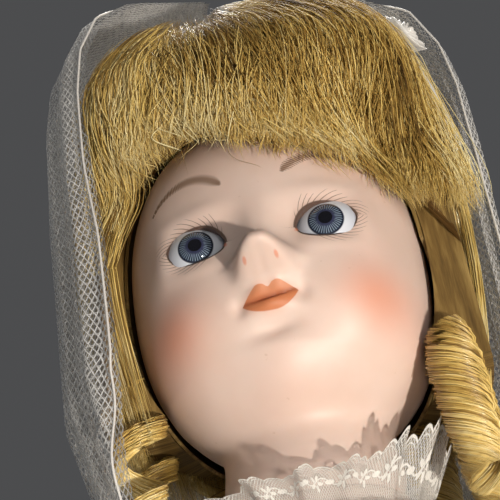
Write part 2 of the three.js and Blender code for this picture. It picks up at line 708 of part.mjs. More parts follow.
for (const [name, side] of SIDES) {
  const stand = (geometry) => geometry.translate(side * HIP.x, 0, 0);
  const standSolid = (solid) => toGeometry(solid.translate([side * HIP.x, 0, 0]));
  const leg = toSolid(body(LEG, 12)).add(footSolid(0));
  add(`lower_leg_${name}`, standSolid(leg), bisque);
  const thigh = [
    { z: 101.6, rx: 9.6, ry: 9.8, y: 1 },
    { z: 108, rx: 11.2, ry: 11.4, y: 1 },
    { z: 140, rx: 13, ry: 13.4, y: 1 },
    { z: 166, rx: 14, ry: 14.4, y: 1 },
    { z: 180, rx: 14.2, ry: 13.6, y: 1 },
    { z: 187, rx: 12, ry: 8.4, y: 1 },
    { z: 189, rx: 7, ry: 3, y: 1 },
  ];
  add(`upper_leg_${name}`, stand(body(thigh, 14)), cotton);
  const drawers = [
    { z: 84, rx: 15, ry: 15.4, y: 1, wave: 0.9, folds: 8 },
    { z: 92, rx: 11.8, ry: 12, y: 1 },
    { z: 102, rx: 14, ry: 14.4, y: 1, wave: 0.6, folds: 8 },
    { z: 168, rx: 15.2, ry: 15.8, y: 1 },
  ];
  add(`drawers_leg_${name}`, stand(wall(drawers, 0.7, 16)), cotton);
  const stocking = LEG.slice(1, 5).map((l) => ({ ...l, rx: l.rx + 0.4, ry: l.ry + 0.4 }));
  stocking.push({ z: 80, rx: 10.5, ry: 11, y: 1.9 });
  add(`stocking_${name}`, stand(wall(stocking, 0.5, 12)), cotton);
  const opening = toSolid(body([{ z: 14.4, rx: 7.2, ry: 11.6, y: -2.4 }, { z: 40, rx: 9.4, ry: 14, y: -2 }], 14));
  const ankle = toSolid(body(LEG.slice(0, 3).map((l) => ({ ...l, rx: l.rx + 0.5, ry: l.ry + 0.5 })), 12));
  const shoe = footSolid(1.5, 1.2).subtract(footSolid(0.5)).subtract(opening).subtract(ankle);
  add(`shoe_${name}`, standSolid(largest(shoe)), shoeLeather);
  const outline = new THREE.Shape();
  outline.moveTo(0, 14.4);
  outline.bezierCurveTo(8.4, 14.4, 9.4, 8, 9.4, 0);
  outline.bezierCurveTo(9.4, -8, 11.4, -14, 10.6, -21);
  outline.bezierCurveTo(9.6, -30, 5, -32.6, 0, -32.6);
  outline.bezierCurveTo(-5, -32.6, -9.6, -30, -10.6, -21);
  outline.bezierCurveTo(-11.4, -14, -9.4, -8, -9.4, 0);
  outline.bezierCurveTo(-9.4, 8, -8.4, 14.4, 0, 14.4);
  const sole = new THREE.ExtrudeGeometry(outline, { depth: SOLE, bevelEnabled: false, curveSegments: 5 });
  add(`shoe_sole_${name}`, stand(sole), shoeLeather);
}

export default doll;
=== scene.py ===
# %% [markdown]
# # A porcelain bride doll
# The real doll is an assembly: a bisque head on a sprung neck, glass eyes set from inside, a dressed
# wig, a tulle veil on a band, a stuffed cloth body with porcelain hands and legs, and a lace gown.
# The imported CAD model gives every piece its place, and each cell below makes or finishes one of them.

# %% The frame and the tools
import math

import bpy
import numpy as np
from mathutils import Matrix, Vector


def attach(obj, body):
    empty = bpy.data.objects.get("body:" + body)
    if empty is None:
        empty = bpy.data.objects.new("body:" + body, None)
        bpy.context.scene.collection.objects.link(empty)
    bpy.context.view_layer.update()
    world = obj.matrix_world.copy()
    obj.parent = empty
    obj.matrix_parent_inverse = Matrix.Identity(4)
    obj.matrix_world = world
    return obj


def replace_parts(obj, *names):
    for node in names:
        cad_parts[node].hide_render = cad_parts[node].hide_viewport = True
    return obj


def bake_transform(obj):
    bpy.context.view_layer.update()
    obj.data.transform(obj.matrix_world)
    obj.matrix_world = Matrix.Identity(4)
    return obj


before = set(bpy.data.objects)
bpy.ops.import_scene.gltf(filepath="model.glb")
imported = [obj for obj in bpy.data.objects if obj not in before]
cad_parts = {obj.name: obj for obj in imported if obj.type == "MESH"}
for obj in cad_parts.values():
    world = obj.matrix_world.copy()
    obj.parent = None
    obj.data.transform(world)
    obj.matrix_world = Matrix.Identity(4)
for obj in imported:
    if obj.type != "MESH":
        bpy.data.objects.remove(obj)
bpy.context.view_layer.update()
MM = 0.001
WELD = 1e-6  # points nearer than this, in metres, are one point
random = np.random.default_rng(17)

# %% [markdown]
# ## Where the viewer stands
# The doll is seen close up from below its chin, with the head tipped over. The camera is placed by
# angles round the point between the eyes, and it is made first, so that every later piece can be
# judged through it.

# %% Camera
EYE_MIDDLE = Vector((0, -26.6, 358.5)) * MM


def put_camera(azimuth, elevation, roll, distance, focal, aside, above):
    """A camera that looks at the eyes from the given angles; aside and above shift the view in mm."""
    turn, rise, tip = (math.radians(a) for a in (azimuth, elevation, roll))
    back = Vector(
        (math.sin(turn) * math.cos(rise), -math.cos(turn) * math.cos(rise), math.sin(rise))
    )
    level = Vector((math.cos(turn), math.sin(turn), 0))
    upright = back.cross(level)
    right = math.cos(tip) * level - math.sin(tip) * upright
    up = math.sin(tip) * level + math.cos(tip) * upright
    bpy.ops.object.camera_add()
    camera = bpy.context.object
    camera.data.lens = focal
    camera.data.sensor_width = 36
    camera.data.clip_start = 0.01
    place = EYE_MIDDLE - MM * (aside * right + above * up - distance * back)
    axes = Matrix((right, up, back)).transposed().to_4x4()
    camera.matrix_world = Matrix.Translation(place) @ axes
    bpy.context.scene.camera = camera
    return camera


camera = put_camera(azimuth=5.5, elevation=-31, roll=9.2, distance=230, focal=82.8, aside=1.9, above=3.8)
print("camera at", [round(v, 3) for v in camera.matrix_world.translation])

# %% [markdown]
# ## Light and floor
# One warm key light from the lower right draws the soft shadow of the nose and throws the collar's
# shadow up on the neck. A second narrow lamp lights only the gown. Soft lamps from in front, above and
# behind keep the rest open, a tiny one makes the glint in the eyes, and a pale floor is under the shoes.

# %% Lights, floor and surroundings


def lamp(kind, name, place, aim, power, colour):
    bpy.ops.object.light_add(type=kind, location=place)
    light = bpy.context.object
    light.name = name
    light.data.energy = power
    light.data.color = colour
    light.rotation_euler = (Vector(aim) - Vector(place)).to_track_quat("-Z", "Y").to_euler()
    return light


def area_light(name, place, aim, size, power, colour, glossy=True):
    """A round soft lamp. One that is not glossy lights the doll but is not mirrored in it."""
    light = lamp("AREA", name, place, aim, power, colour)
    light.data.shape = "DISK"
    light.data.size = size
    light.visible_glossy = glossy


def spot_light(name, place, aim, cone, softness, power, colour):
    light = lamp("SPOT", name, place, aim, power, colour)
    light.data.shadow_soft_size = softness
    light.data.spot_size = math.radians(cone)
    light.data.spot_blend = 0.6


face_point = (0, -0.02, 0.345)
spot_light("key_light", (0.26, -0.39, 0.012), (0, -0.02, 0.372), 38, 0.012, 11.3, (1.0, 0.93, 0.84))
spot_light("gown_light", (0.45, -0.95, 0.42), (0, 0, 0.08), 20, 0.08, 24.0, (1.0, 0.97, 0.93))
area_light("soft_key_light", (0.45, -0.75, 0.35), (0, 0, 0.22), 0.5, 0.9, (1.0, 0.96, 0.91), glossy=False)
area_light("catch_light", (0.118, -0.568, 0.203), face_point, 0.011, 0.22, (1.0, 0.97, 0.93))
area_light("fill_light", (-0.55, -0.75, 0.55), face_point, 0.9, 0.22, (0.93, 0.96, 1.0), glossy=False)
area_light("back_light", (-0.55, 0.95, 0.75), (0, 0, 0.25), 0.8, 4.5, (0.95, 0.97, 1.0), glossy=False)
area_light("top_light", (0.10, 0.16, 0.95), (0, -0.01, 0.39), 0.3, 4.6, (1.0, 0.97, 0.93))

world = bpy.data.worlds.new("studio")
bpy.context.scene.world = world
world.use_nodes = True
sky = world.node_tree.nodes["Background"]
sky.inputs["Color"].default_value = (0.86, 0.87, 0.9, 1)
sky.inputs["Strength"].default_value = 0.085

bpy.ops.mesh.primitive_plane_add(size=6, location=(0, 0, -0.0002))
floor = bpy.context.object
floor.name = "studio_floor"
pale = bpy.data.materials.new("pale_floor")
pale.use_nodes = True
floor_shader = pale.node_tree.nodes["Principled BSDF"]
floor_shader.inputs["Base Color"].default_value = (0.62, 0.62, 0.61, 1)
floor_shader.inputs["Roughness"].default_value = 0.8
floor.data.materials.append(pale)
bpy.context.scene.view_settings.view_transform = "Standard"

# %% [markdown]
# ## Writing materials as sums
# A material is easier to read as arithmetic than as a drawing of boxes. `Signal` wraps one socket and
# turns `+`, `-`, `*` and `/` into Math nodes; `Paint` makes every other node through one method.

# %% Signals and paints


class Signal:
    """A socket's value in a material. Arithmetic on it adds Math nodes."""

    def __init__(self, paint, socket):
        self.paint = paint
        self.socket = socket

    def maths(self, operation, *values):
        return self.paint.node(
            "ShaderNodeMath", {"operation": operation}, dict(enumerate((self, *values)))
        )

    def __add__(self, other):
        return self.maths("ADD", other)

    __radd__ = __add__

    def __sub__(self, other):
        return self.maths("SUBTRACT", other)

    def __rsub__(self, other):
        return self.paint.node("ShaderNodeMath", {"operation": "SUBTRACT"}, {0: other, 1: self})

    def __mul__(self, other):
        return self.maths("MULTIPLY", other)

    __rmul__ = __mul__

    def __truediv__(self, other):
        return self.maths("DIVIDE", other)

    def __pow__(self, other):
        return self.maths("POWER", other)

    def ramp(self, start, end):
        """0 before start, 1 after end, and a smooth rise between them."""
        return self.paint.node(
            "ShaderNodeMapRange",
            {"interpolation_type": "SMOOTHSTEP"},
            {"Value": self, "From Min": start, "From Max": end},
        )


class Paint:
    """A material with one Principled shader."""

    def __init__(self, name, **fixed):
        self.material = bpy.data.materials.new(name)
        self.material.use_nodes = True
        self.tree = self.material.node_tree
        self.shader = self.tree.nodes["Principled BSDF"]
        for socket, value in fixed.items():
            self.shader.inputs[socket.replace("_", " ")].default_value = value

    def node(self, kind, settings=None, inputs=None, output=0):
        made = self.tree.nodes.new(kind)
        for key, value in (settings or {}).items():
            if key == "stops":
                for _ in range(len(value) - 2):
                    made.color_ramp.elements.new(0.5)
                for element, (place, colour) in zip(made.color_ramp.elements, value):
                    element.position = place
                    element.color = (*colour, 1)
            else:
                setattr(made, key, value)
        for key, value in (inputs or {}).items():
            socket = made.inputs[key]
            if isinstance(value, Signal):
                self.tree.links.new(value.socket, socket)
            elif isinstance(value, tuple) and len(value) == 3 and socket.type == "RGBA":
                socket.default_value = (*value, 1)
            else:
                socket.default_value = value
        return Signal(self, made.outputs[output])

    def place(self):
        """The Object coordinates of the surface, in metres."""
        return self.node("ShaderNodeTexCoord", output="Object")

    def uv(self):
        return self.node("ShaderNodeTexCoord", output="UV")

    def split(self, vector):
        return [self.node("ShaderNodeSeparateXYZ", inputs={0: vector}, output=i) for i in range(3)]

    def join(self, x, y, z=0.0):
        return self.node("ShaderNodeCombineXYZ", inputs={0: x, 1: y, 2: z})

    def attribute(self, name):
        return self.node("ShaderNodeAttribute", {"attribute_name": name}, output="Fac")

    def noise(self, vector, scale, detail=3.0, roughness=0.5):
        values = {"Vector": vector, "Scale": scale, "Detail": detail, "Roughness": roughness}
        return self.node("ShaderNodeTexNoise", inputs=values)

    def mix(self, mask, first, second):
        """The second colour where the mask is 1."""
        settings = {"data_type": "RGBA"}
        return self.node("ShaderNodeMix", settings, {0: mask, 6: first, 7: second}, output=2)

    def bump(self, height, distance, strength=1.0):
        values = {"Strength": strength, "Distance": distance, "Height": height}
        return self.node("ShaderNodeBump", inputs=values)

    def feed(self, **links):
        for socket, value in links.items():
            self.tree.links.new(value.socket, self.shader.inputs[socket.replace("_", " ")])
        return self.material


print("material tools ready")

# %% [markdown]
# ## Small modelling helpers
# Everything is deselected before an operator runs, because operators act on all that is selected.
# Sheets of cloth and locks of hair are woven from rows of points, which is the honest way to make
# something that is defined by how its threads run.

# %% Helpers for meshes


def deselect():
    if bpy.context.object and bpy.context.object.mode != "OBJECT":
        bpy.ops.object.mode_set(mode="OBJECT")
    bpy.ops.object.select_all(action="DESELECT")


def choose(piece):
    deselect()
    piece.select_set(True)
    bpy.context.view_layer.objects.active = piece
    return piece


def settle(piece):
    """Moves the object's place, turn and size into its mesh."""
    choose(piece)
    bpy.ops.object.transform_apply(location=True, rotation=True, scale=True)
    return piece


def finish_with(piece, kind, **values):
    """Adds a modifier and applies it at once."""
    choose(piece)
    modifier = piece.modifiers.new(kind.title(), kind)
    for key, value in values.items():
        setattr(modifier, key, value)
    bpy.ops.object.modifier_apply(modifier=modifier.name)
    return piece


def edit_all(piece, operator, **values):
    """Runs one edit-mode operator on the whole of a piece."""
    choose(piece)
    bpy.ops.object.mode_set(mode="EDIT")
    bpy.ops.mesh.select_all(action="SELECT")
    operator(**values)
    bpy.ops.object.mode_set(mode="OBJECT")
    return piece


def smooth(piece):
    choose(piece)
    bpy.ops.object.shade_smooth()
    return piece


def coordinates(piece):
    """The mesh's points in millimetres."""
    flat = np.empty(len(piece.data.vertices) * 3)
    piece.data.vertices.foreach_get("co", flat)
    return flat.reshape(-1, 3) / MM


def move_points(piece, places):
    piece.data.vertices.foreach_set("co", (np.asarray(places) * MM).ravel())
    piece.data.update()


def weave(name, points, quads, uv=None):
    """A mesh from points in millimetres, its four-cornered faces, and one uv pair for each point."""
    mesh = bpy.data.meshes.new(name)
    quads = np.asarray(quads, dtype=np.int32)
    mesh.vertices.add(len(points))
    mesh.vertices.foreach_set("co", (np.asarray(points) * MM).ravel())
    mesh.loops.add(quads.size)
    mesh.loops.foreach_set("vertex_index", quads.ravel())
    mesh.polygons.add(len(quads))
    mesh.polygons.foreach_set("loop_start", np.arange(len(quads), dtype=np.int32) * 4)
    if uv is not None:
        layer = mesh.uv_layers.new(name="cloth")
        layer.data.foreach_set("uv", np.asarray(uv)[quads.ravel()].ravel())
    mesh.update(calc_edges=True)
    mesh.validate()
    piece = bpy.data.objects.new(name, mesh)
    bpy.context.scene.collection.objects.link(piece)
    return smooth(piece)


def grid_faces(rows, columns, looped=False):
    across = columns if looped else columns - 1
    i, j = np.meshgrid(np.arange(rows - 1), np.arange(across), indexing="ij")
    k = (j + 1) % columns
    quads = np.stack([i * columns + j, i * columns + k, (i + 1) * columns + k, (i + 1) * columns + j])
    return quads.reshape(4, -1).T


def attribute(piece, name, values):
    layer = piece.data.attributes.new(name, "FLOAT", "POINT")
    layer.data.foreach_set("value", np.asarray(values, dtype=np.float32))


def wear(piece, material):
    piece.data.materials.clear()
    piece.data.materials.append(material)
    return piece


print("helpers ready")

# %% [markdown]
# ## The bisque head
# The real head is slip poured in a plaster mould: a thin even wall, soft full cheeks, a button nose
# and small pursed lips. A sphere primitive gives closed topology with no seam down the face. Its rows
# are crowded towards the face, set on the head's own round form, and then the features are pressed up
# with soft brushes, as a sculptor works clay.

# %% The head's round form and its features
HEAD_MIDDLE = np.array([0.0, 2.0, 360.0])
HALF = {"side": 32.5, "front": 30.5, "back": 34.0, "up": 42.0, "down": 41.0}
ROUNDNESS = 2.15
NOSE_TIP = 349.8
PARTING = 342.5


def brush(x, z, at_x, at_z, wide, tall, height):
    """A soft hill on the face; away from the middle it is made on both sides."""
    sides = (1, -1) if at_x else (1,)
    return sum(
        height * np.exp(-(((x - s * at_x) / wide) ** 2) - ((z - at_z) / tall) ** 2) for s in sides
    )


FEATURES = (
    (4.1, 348.0, 1.7, 1.6, 1.7),  # wings of the nose
    (13.4, 360.5, 8.5, 6.5, -1.0),  # eye sockets
    (6.6, 358.6, 3.0, 4.6, -1.7),  # the hollow beside the bridge
    (21.0, 358.8, 3.0, 6.0, 1.7),  # outer rims of the sockets
    (13.6, 366.0, 7.0, 2.2, 0.7),  # upper lids
    (13.4, 352.9, 6.5, 1.8, 0.4),  # lower lids
    (17.5, 341.0, 9.5, 9.5, 2.1),  # apples of the cheeks
    (0.0, 328.5, 8.0, 6.0, 3.8),  # the chin
    (0.0, 379.0, 18.0, 9.0, 0.9),  # the forehead
)


MOUTH_FEATURES = (
    (0.0, 342.0, 8.0, 5.6, 1.7),  # the muzzle
    (6.3, 342.3, 1.6, 1.8, -1.0),  # dimples beside the mouth
    (0.0, 347.2, 0.9, 1.2, -0.4),  # the groove under the nose
    (1.9, 344.4, 1.9, 1.2, 0.8),  # upper lip
    (0.0, 340.9, 2.9, 1.2, 1.1),  # lower lip
    (0.0, 337.2, 4.8, 1.7, -1.5),  # the hollow under it
)
LIP_TILT = 0.12  # the mouth is not quite level


def face_relief(x, z):
    """How far the features stand out of the round form, in millimetres."""
    above, below = np.maximum(z - NOSE_TIP, 0), np.maximum(NOSE_TIP - z, 0)
    ridge = 9.6 * np.exp(-((above / 4.3) ** 2.4)) + 2.6 * np.exp(-((above / 10.0) ** 1.8))
    ridge = ridge * np.exp(-((below / 3.1) ** 2.2))
    width = 3.0 + 2.3 * np.exp(-((above / 3.9) ** 2)) - 0.2 * np.minimum(below, 2)
    relief = ridge * np.exp(-((np.abs(x) / width) ** 2.7))
    relief += sum(brush(x, z, *feature) for feature in FEATURES)
    z = z - LIP_TILT * x * np.exp(-((x / 9) ** 4))
    relief += sum(brush(x, z, *feature) for feature in MOUTH_FEATURES)
    groove = np.exp(-(((z - PARTING - 0.012 * x**2) / 0.42) ** 2)) * np.exp(-((x / 4.7) ** 4))
    return relief - 0.75 * groove


def ease(value, start, end):
    t = np.clip((value - start) / (end - start), 0, 1)
    return t * t * (3 - 2 * t)


def round_reach(directions):
    """How far the plain head reaches along unit directions."""
    x, y, z = np.moveaxis(np.abs(directions), -1, 0)
    depth = np.where(directions[..., 1] < 0, HALF["front"], HALF["back"])
    tall = np.where(directions[..., 2] > 0, HALF["up"], HALF["down"])
    power = ROUNDNESS + 0.3 * ease(-directions[..., 2], 0.0, 0.7)  # fuller jaw
    total = (x / HALF["side"]) ** power + (y / depth) ** power + (z / tall) ** power
    return total ** (-1 / power)


def head_places(turn, tilt):
    """The head's outside. turn goes round from the face, tilt up from the chin."""
    turn, tilt = np.broadcast_arrays(turn, tilt)
    level = np.cos(tilt)
    directions = np.stack([np.sin(turn) * level, -np.cos(turn) * level, np.sin(tilt)], axis=-1)
    places = HEAD_MIDDLE + directions * round_reach(directions)[..., None]
    facing = np.clip(-directions[..., 1] / 0.4, 0, 1) ** 0.7
    places[..., 1] -= 0.92 * facing * face_relief(places[..., 0], places[..., 2])
    return places


print("nose stands out", round(float(face_relief(np.array(0.0), np.array(348.0))), 1), "mm")

# %% [markdown]
# The neck is one piece with the head: it narrows under the chin and swells again into the ball that
# turns in the shoulder plate. The rows of the sphere below the jaw are laid down the neck instead,
# and the corner between them is then eased, column by column, as a wet sponge eases clay.

# %% The head's skin, from crown to neck ball
COLUMNS, ROWS = 224, 176
JAW_ROW = 130  # the last row of the head; the rows below it are the neck
NECK_Y = 3
NECK_LEVELS = ((324.5, 17.0), (321, 17.2), (317, 18.0), (313, 18.5), (309, 17.4), (305, 13), (303, 6))


def skin_table():
    """Places for every row and column, crown first."""
    t = np.linspace(1, -1, ROWS + 1)
    tilt = np.pi / 2 * (0.55 * t + 0.45 * t**3) - 0.25 * (1 - t**2) ** 2
    s = np.linspace(-1, 1, COLUMNS + 1)[:-1]
    turn = np.pi * (0.38 * s + 0.62 * s**3)
    jaw_tilt = -1.10
    shown = tilt[tilt > jaw_tilt]
    steps = np.linspace(0, len(shown) - 1, JAW_ROW + 1)
    tilt[: JAW_ROW + 1] = np.interp(steps, range(len(shown)), shown)
    table = head_places(turn[None, :], tilt[:, None])
    heights, radii = np.array(NECK_LEVELS).T
    steps = np.linspace(0, len(heights) - 1, ROWS - JAW_ROW)
    rows_z = np.interp(steps, range(len(heights)), heights)
    rows_r = np.interp(steps, range(len(heights)), radii)
    rows_r[-1] = 0
    ring = np.stack([np.sin(turn), -np.cos(turn)], axis=-1)
    table[JAW_ROW + 1 :, :, 0] = rows_r[:, None] * ring[None, :, 0]
    table[JAW_ROW + 1 :, :, 1] = NECK_Y + rows_r[:, None] * ring[None, :, 1]
    table[JAW_ROW + 1 :, :, 2] = rows_z[:, None]
    for sweep in range(60):
        part = table[JAW_ROW - 14 : JAW_ROW + 16]
        part[1:-1] = 0.5 * part[1:-1] + 0.25 * (part[:-2] + part[2:])
    return table


deselect()
bpy.ops.mesh.primitive_uv_sphere_add(segments=COLUMNS, ring_count=ROWS, radius=1)
head = bpy.context.object
head.name = "bisque_head"
ball = coordinates(head) * MM
row = np.rint((np.pi / 2 - np.arcsin(np.clip(ball[:, 2], -1, 1))) / np.pi * ROWS).astype(int)
column = np.rint((np.arctan2(ball[:, 0], -ball[:, 1]) / np.pi + 1) / 2 * COLUMNS).astype(int) % COLUMNS
move_points(head, skin_table()[row, column])
print("head points:", len(head.data.vertices))

# %% [markdown]
# The pour hole in the crown, the hollow inside and the two almond eye holes are cut as they are in the
# greenware: with a blade, before firing. The wall is 2.9 mm thick under the plain round form.

# %% Hollowing the head and cutting the eyes
EYE_X, EYE_Y, EYE_Z = 13.4, -18.6, 358.5
EYE_RADIUS = 8.2
BISQUE_WALL = 2.9
OUTLINE_POINTS = 720
OPENING = {"half": 6.3, "up": 4.15, "down": 3.85, "tilt": 0.05}


def eye_outline(count):
    """The almond hole of the left eye about its middle, starting at the inner corner."""
    a = np.linspace(0, 2 * np.pi, count, endpoint=False)
    across = -np.cos(a) * (1 - 0.04 * np.cos(2 * a))
    tall = np.where(np.sin(a) > 0, OPENING["up"], OPENING["down"])
    height = tall * np.sign(np.sin(a)) * np.abs(np.sin(a)) ** 1.15
    x = OPENING["half"] * across
    return np.stack([x, height + OPENING["tilt"] * x], axis=1)


def cut_away(piece, cutter):
    choose(piece)
    finish_with(piece, "BOOLEAN", operation="DIFFERENCE", object=cutter, solver="MANIFOLD")
    bpy.data.objects.remove(cutter)


def almond_cutter(side):
    deselect()
    bpy.ops.mesh.primitive_cylinder_add(vertices=72, radius=1, depth=2, end_fill_type="TRIFAN")
    cutter = bpy.context.object
    p = coordinates(cutter) * MM
    outline = eye_outline(OUTLINE_POINTS)
    angle = np.arctan2(p[:, 1], p[:, 0]) % (2 * np.pi)
    rim = outline[np.rint(angle / (2 * np.pi) * OUTLINE_POINTS).astype(int) % OUTLINE_POINTS]
    rim = rim * np.hypot(p[:, 0], p[:, 1])[:, None]
    depth = np.where(p[:, 2] > 0, -45.0, -14.0)
    places = np.stack([side * (EYE_X + rim[:, 0]), depth, EYE_Z + rim[:, 1]], axis=1)
    move_points(cutter, places)
    return edit_all(cutter, bpy.ops.mesh.normals_make_consistent, inside=False)


def hollow_cutter():
    deselect()
    bpy.ops.mesh.primitive_uv_sphere_add(segments=48, ring_count=32, radius=1)
    cutter = bpy.context.object
    ball = coordinates(cutter) * MM
    places = HEAD_MIDDLE + ball * (round_reach(ball) - BISQUE_WALL)[:, None]
    move_points(cutter, places)
    return cutter


def crown_cutter():
    deselect()
    bpy.ops.mesh.primitive_cube_add(size=0.12, location=(0, 0.002 + 0.02, 0.389 + 0.0565))
    cutter = bpy.context.object
    cutter.rotation_euler = (-0.36, 0, 0)
    return settle(cutter)


for cutter in (hollow_cutter(), almond_cutter(1), almond_cutter(-1), crown_cutter()):
    cut_away(head, cutter)
print("head after cutting:", len(head.data.vertices), "points")

# %% [markdown]
# ## Painting the face
# The face is painted by hand on the fired bisque: rouge rubbed on the cheeks, orange-peach lips, brows
# and lashes in single brush strokes. Each feature is measured once on the mesh as a distance in
# millimetres, and the paint then draws its edge wherever that distance crosses zero, which stays
# sharp at any zoom.

# %% Distances for the painted features
UPPER_LIP = ((-5.7, 342.6), (-4.5, 343.5), (-3.3, 344.4), (-2.2, 345.0), (-1.0, 344.85), (0, 344.2))
LOWER_LIP = ((5.7, 342.6), (4.7, 341.4), (3.4, 340.45), (1.8, 339.9), (0, 339.75))
BROW = ((6.6, 371.3), (9.5, 373.6), (13.0, 375.0), (17.0, 375.0), (20.3, 373.6), (22.8, 371.2))


def smooth_line(points, count):
    """A curve through the points, by their spacing."""
    points = np.array(points, dtype=float)
    t = np.concatenate([[0], np.cumsum(np.linalg.norm(np.diff(points, axis=0), axis=1))])
    fine = np.linspace(0, t[-1], count)
    padded = np.vstack([2 * points[0] - points[1], points, 2 * points[-1] - points[-2]])
    k = np.clip(np.searchsorted(t, fine, side="right") - 1, 0, len(points) - 2)
    f = ((fine - t[k]) / (t[k + 1] - t[k]))[:, None]
    p0, p1, p2, p3 = (padded[k + i] for i in range(4))
    return 0.5 * (
        2 * p1 + (p2 - p0) * f + (2 * p0 - 5 * p1 + 4 * p2 - p3) * f**2 + (3 * p1 - p0 - 3 * p2 + p3) * f**3
    )


def nearest(line, x, z):
    """Distance to the line and how far along it the nearest point is, from 0 to 1."""
    gap = np.hypot(x[:, None] - line[None, :, 0], z[:, None] - line[None, :, 1])
    best = gap.argmin(axis=1)
    return gap[np.arange(len(x)), best], best / (len(line) - 1)


def inside(outline, x, z):
    x1, z1 = outline.T
    x2, z2 = np.roll(outline, -1, axis=0).T
    crosses = (z1 > z[:, None]) != (z2 > z[:, None])
    meets = (x2 - x1) * (z[:, None] - z1) / np.where(z2 == z1, 1e-9, z2 - z1) + x1
    return (crosses & (x[:, None] < meets)).sum(axis=1) % 2 == 1


def lip_outline():
    half = list(UPPER_LIP)
    top = half + [(-x, z) for x, z in half[-2::-1]]
    bottom = list(LOWER_LIP) + [(-x, z) for x, z in LOWER_LIP[-2::-1]]
    outline = np.vstack([smooth_line(top, 160), smooth_line(bottom, 160)[1:-1]])
    outline[:, 1] += LIP_TILT * outline[:, 0] * (0.25 + 0.75 * (outline[:, 0] / 5.7) ** 2)
    return outline


skin = coordinates(head)
front = skin[:, 1] < -4
x, z = skin[:, 0], skin[:, 2]

lips = np.full(len(skin), -20.0)
near = front & (np.abs(x) < 12) & (np.abs(z - 343) < 9)
outline = lip_outline()
gap, along = nearest(outline, x[near], z[near])
lips[near] = np.where(inside(outline, x[near], z[near]), gap, -gap)
attribute(head, "lips", lips)

brow_gap, brow_along = np.full(len(skin), 20.0), np.zeros(len(skin))
near = front & (np.abs(z - 372) < 9) & (np.abs(x) < 29)
line = smooth_line(BROW, 300)
gap, along = nearest(line, np.abs(x[near]), z[near])
brow_gap[near] = gap
brow_along[near] = along
attribute(head, "brow_gap", brow_gap)
attribute(head, "brow_along", brow_along)

rim_gap, rim_along = np.full(len(skin), 20.0), np.zeros(len(skin))
near = front & (np.abs(z - EYE_Z) < 11) & (np.abs(np.abs(x) - EYE_X) < 13)
almond = eye_outline(400)
gap, along = nearest(almond, np.abs(x[near]) - EYE_X, z[near] - EYE_Z)
rim_gap[near], rim_along[near] = gap, along
attribute(head, "rim_gap", rim_gap)
attribute(head, "rim_along", rim_along)
attribute(head, "face", front.astype(float))
print("lips cover", round(float((lips > 0).mean() * 100), 2), "% of the head's points")

# %% [markdown]
# Bisque is unglazed porcelain: dense, pale, with a faint tooth and a soft sheen where it has been
# handled. A little light goes into it, so it is given a small subsurface share. The paints are thin
# and matte, so they change the colour but hardly the shine.

# %% Bisque and face paint


def strokes(phase, width):
    """1 on thin lines wherever the phase passes a whole number; width is their share of a step."""
    away = ((phase + 0.5).maths("FRACT") - 0.5).maths("ABSOLUTE")
    return 1 - (away - width * 0.5).ramp(-0.03, 0.06)


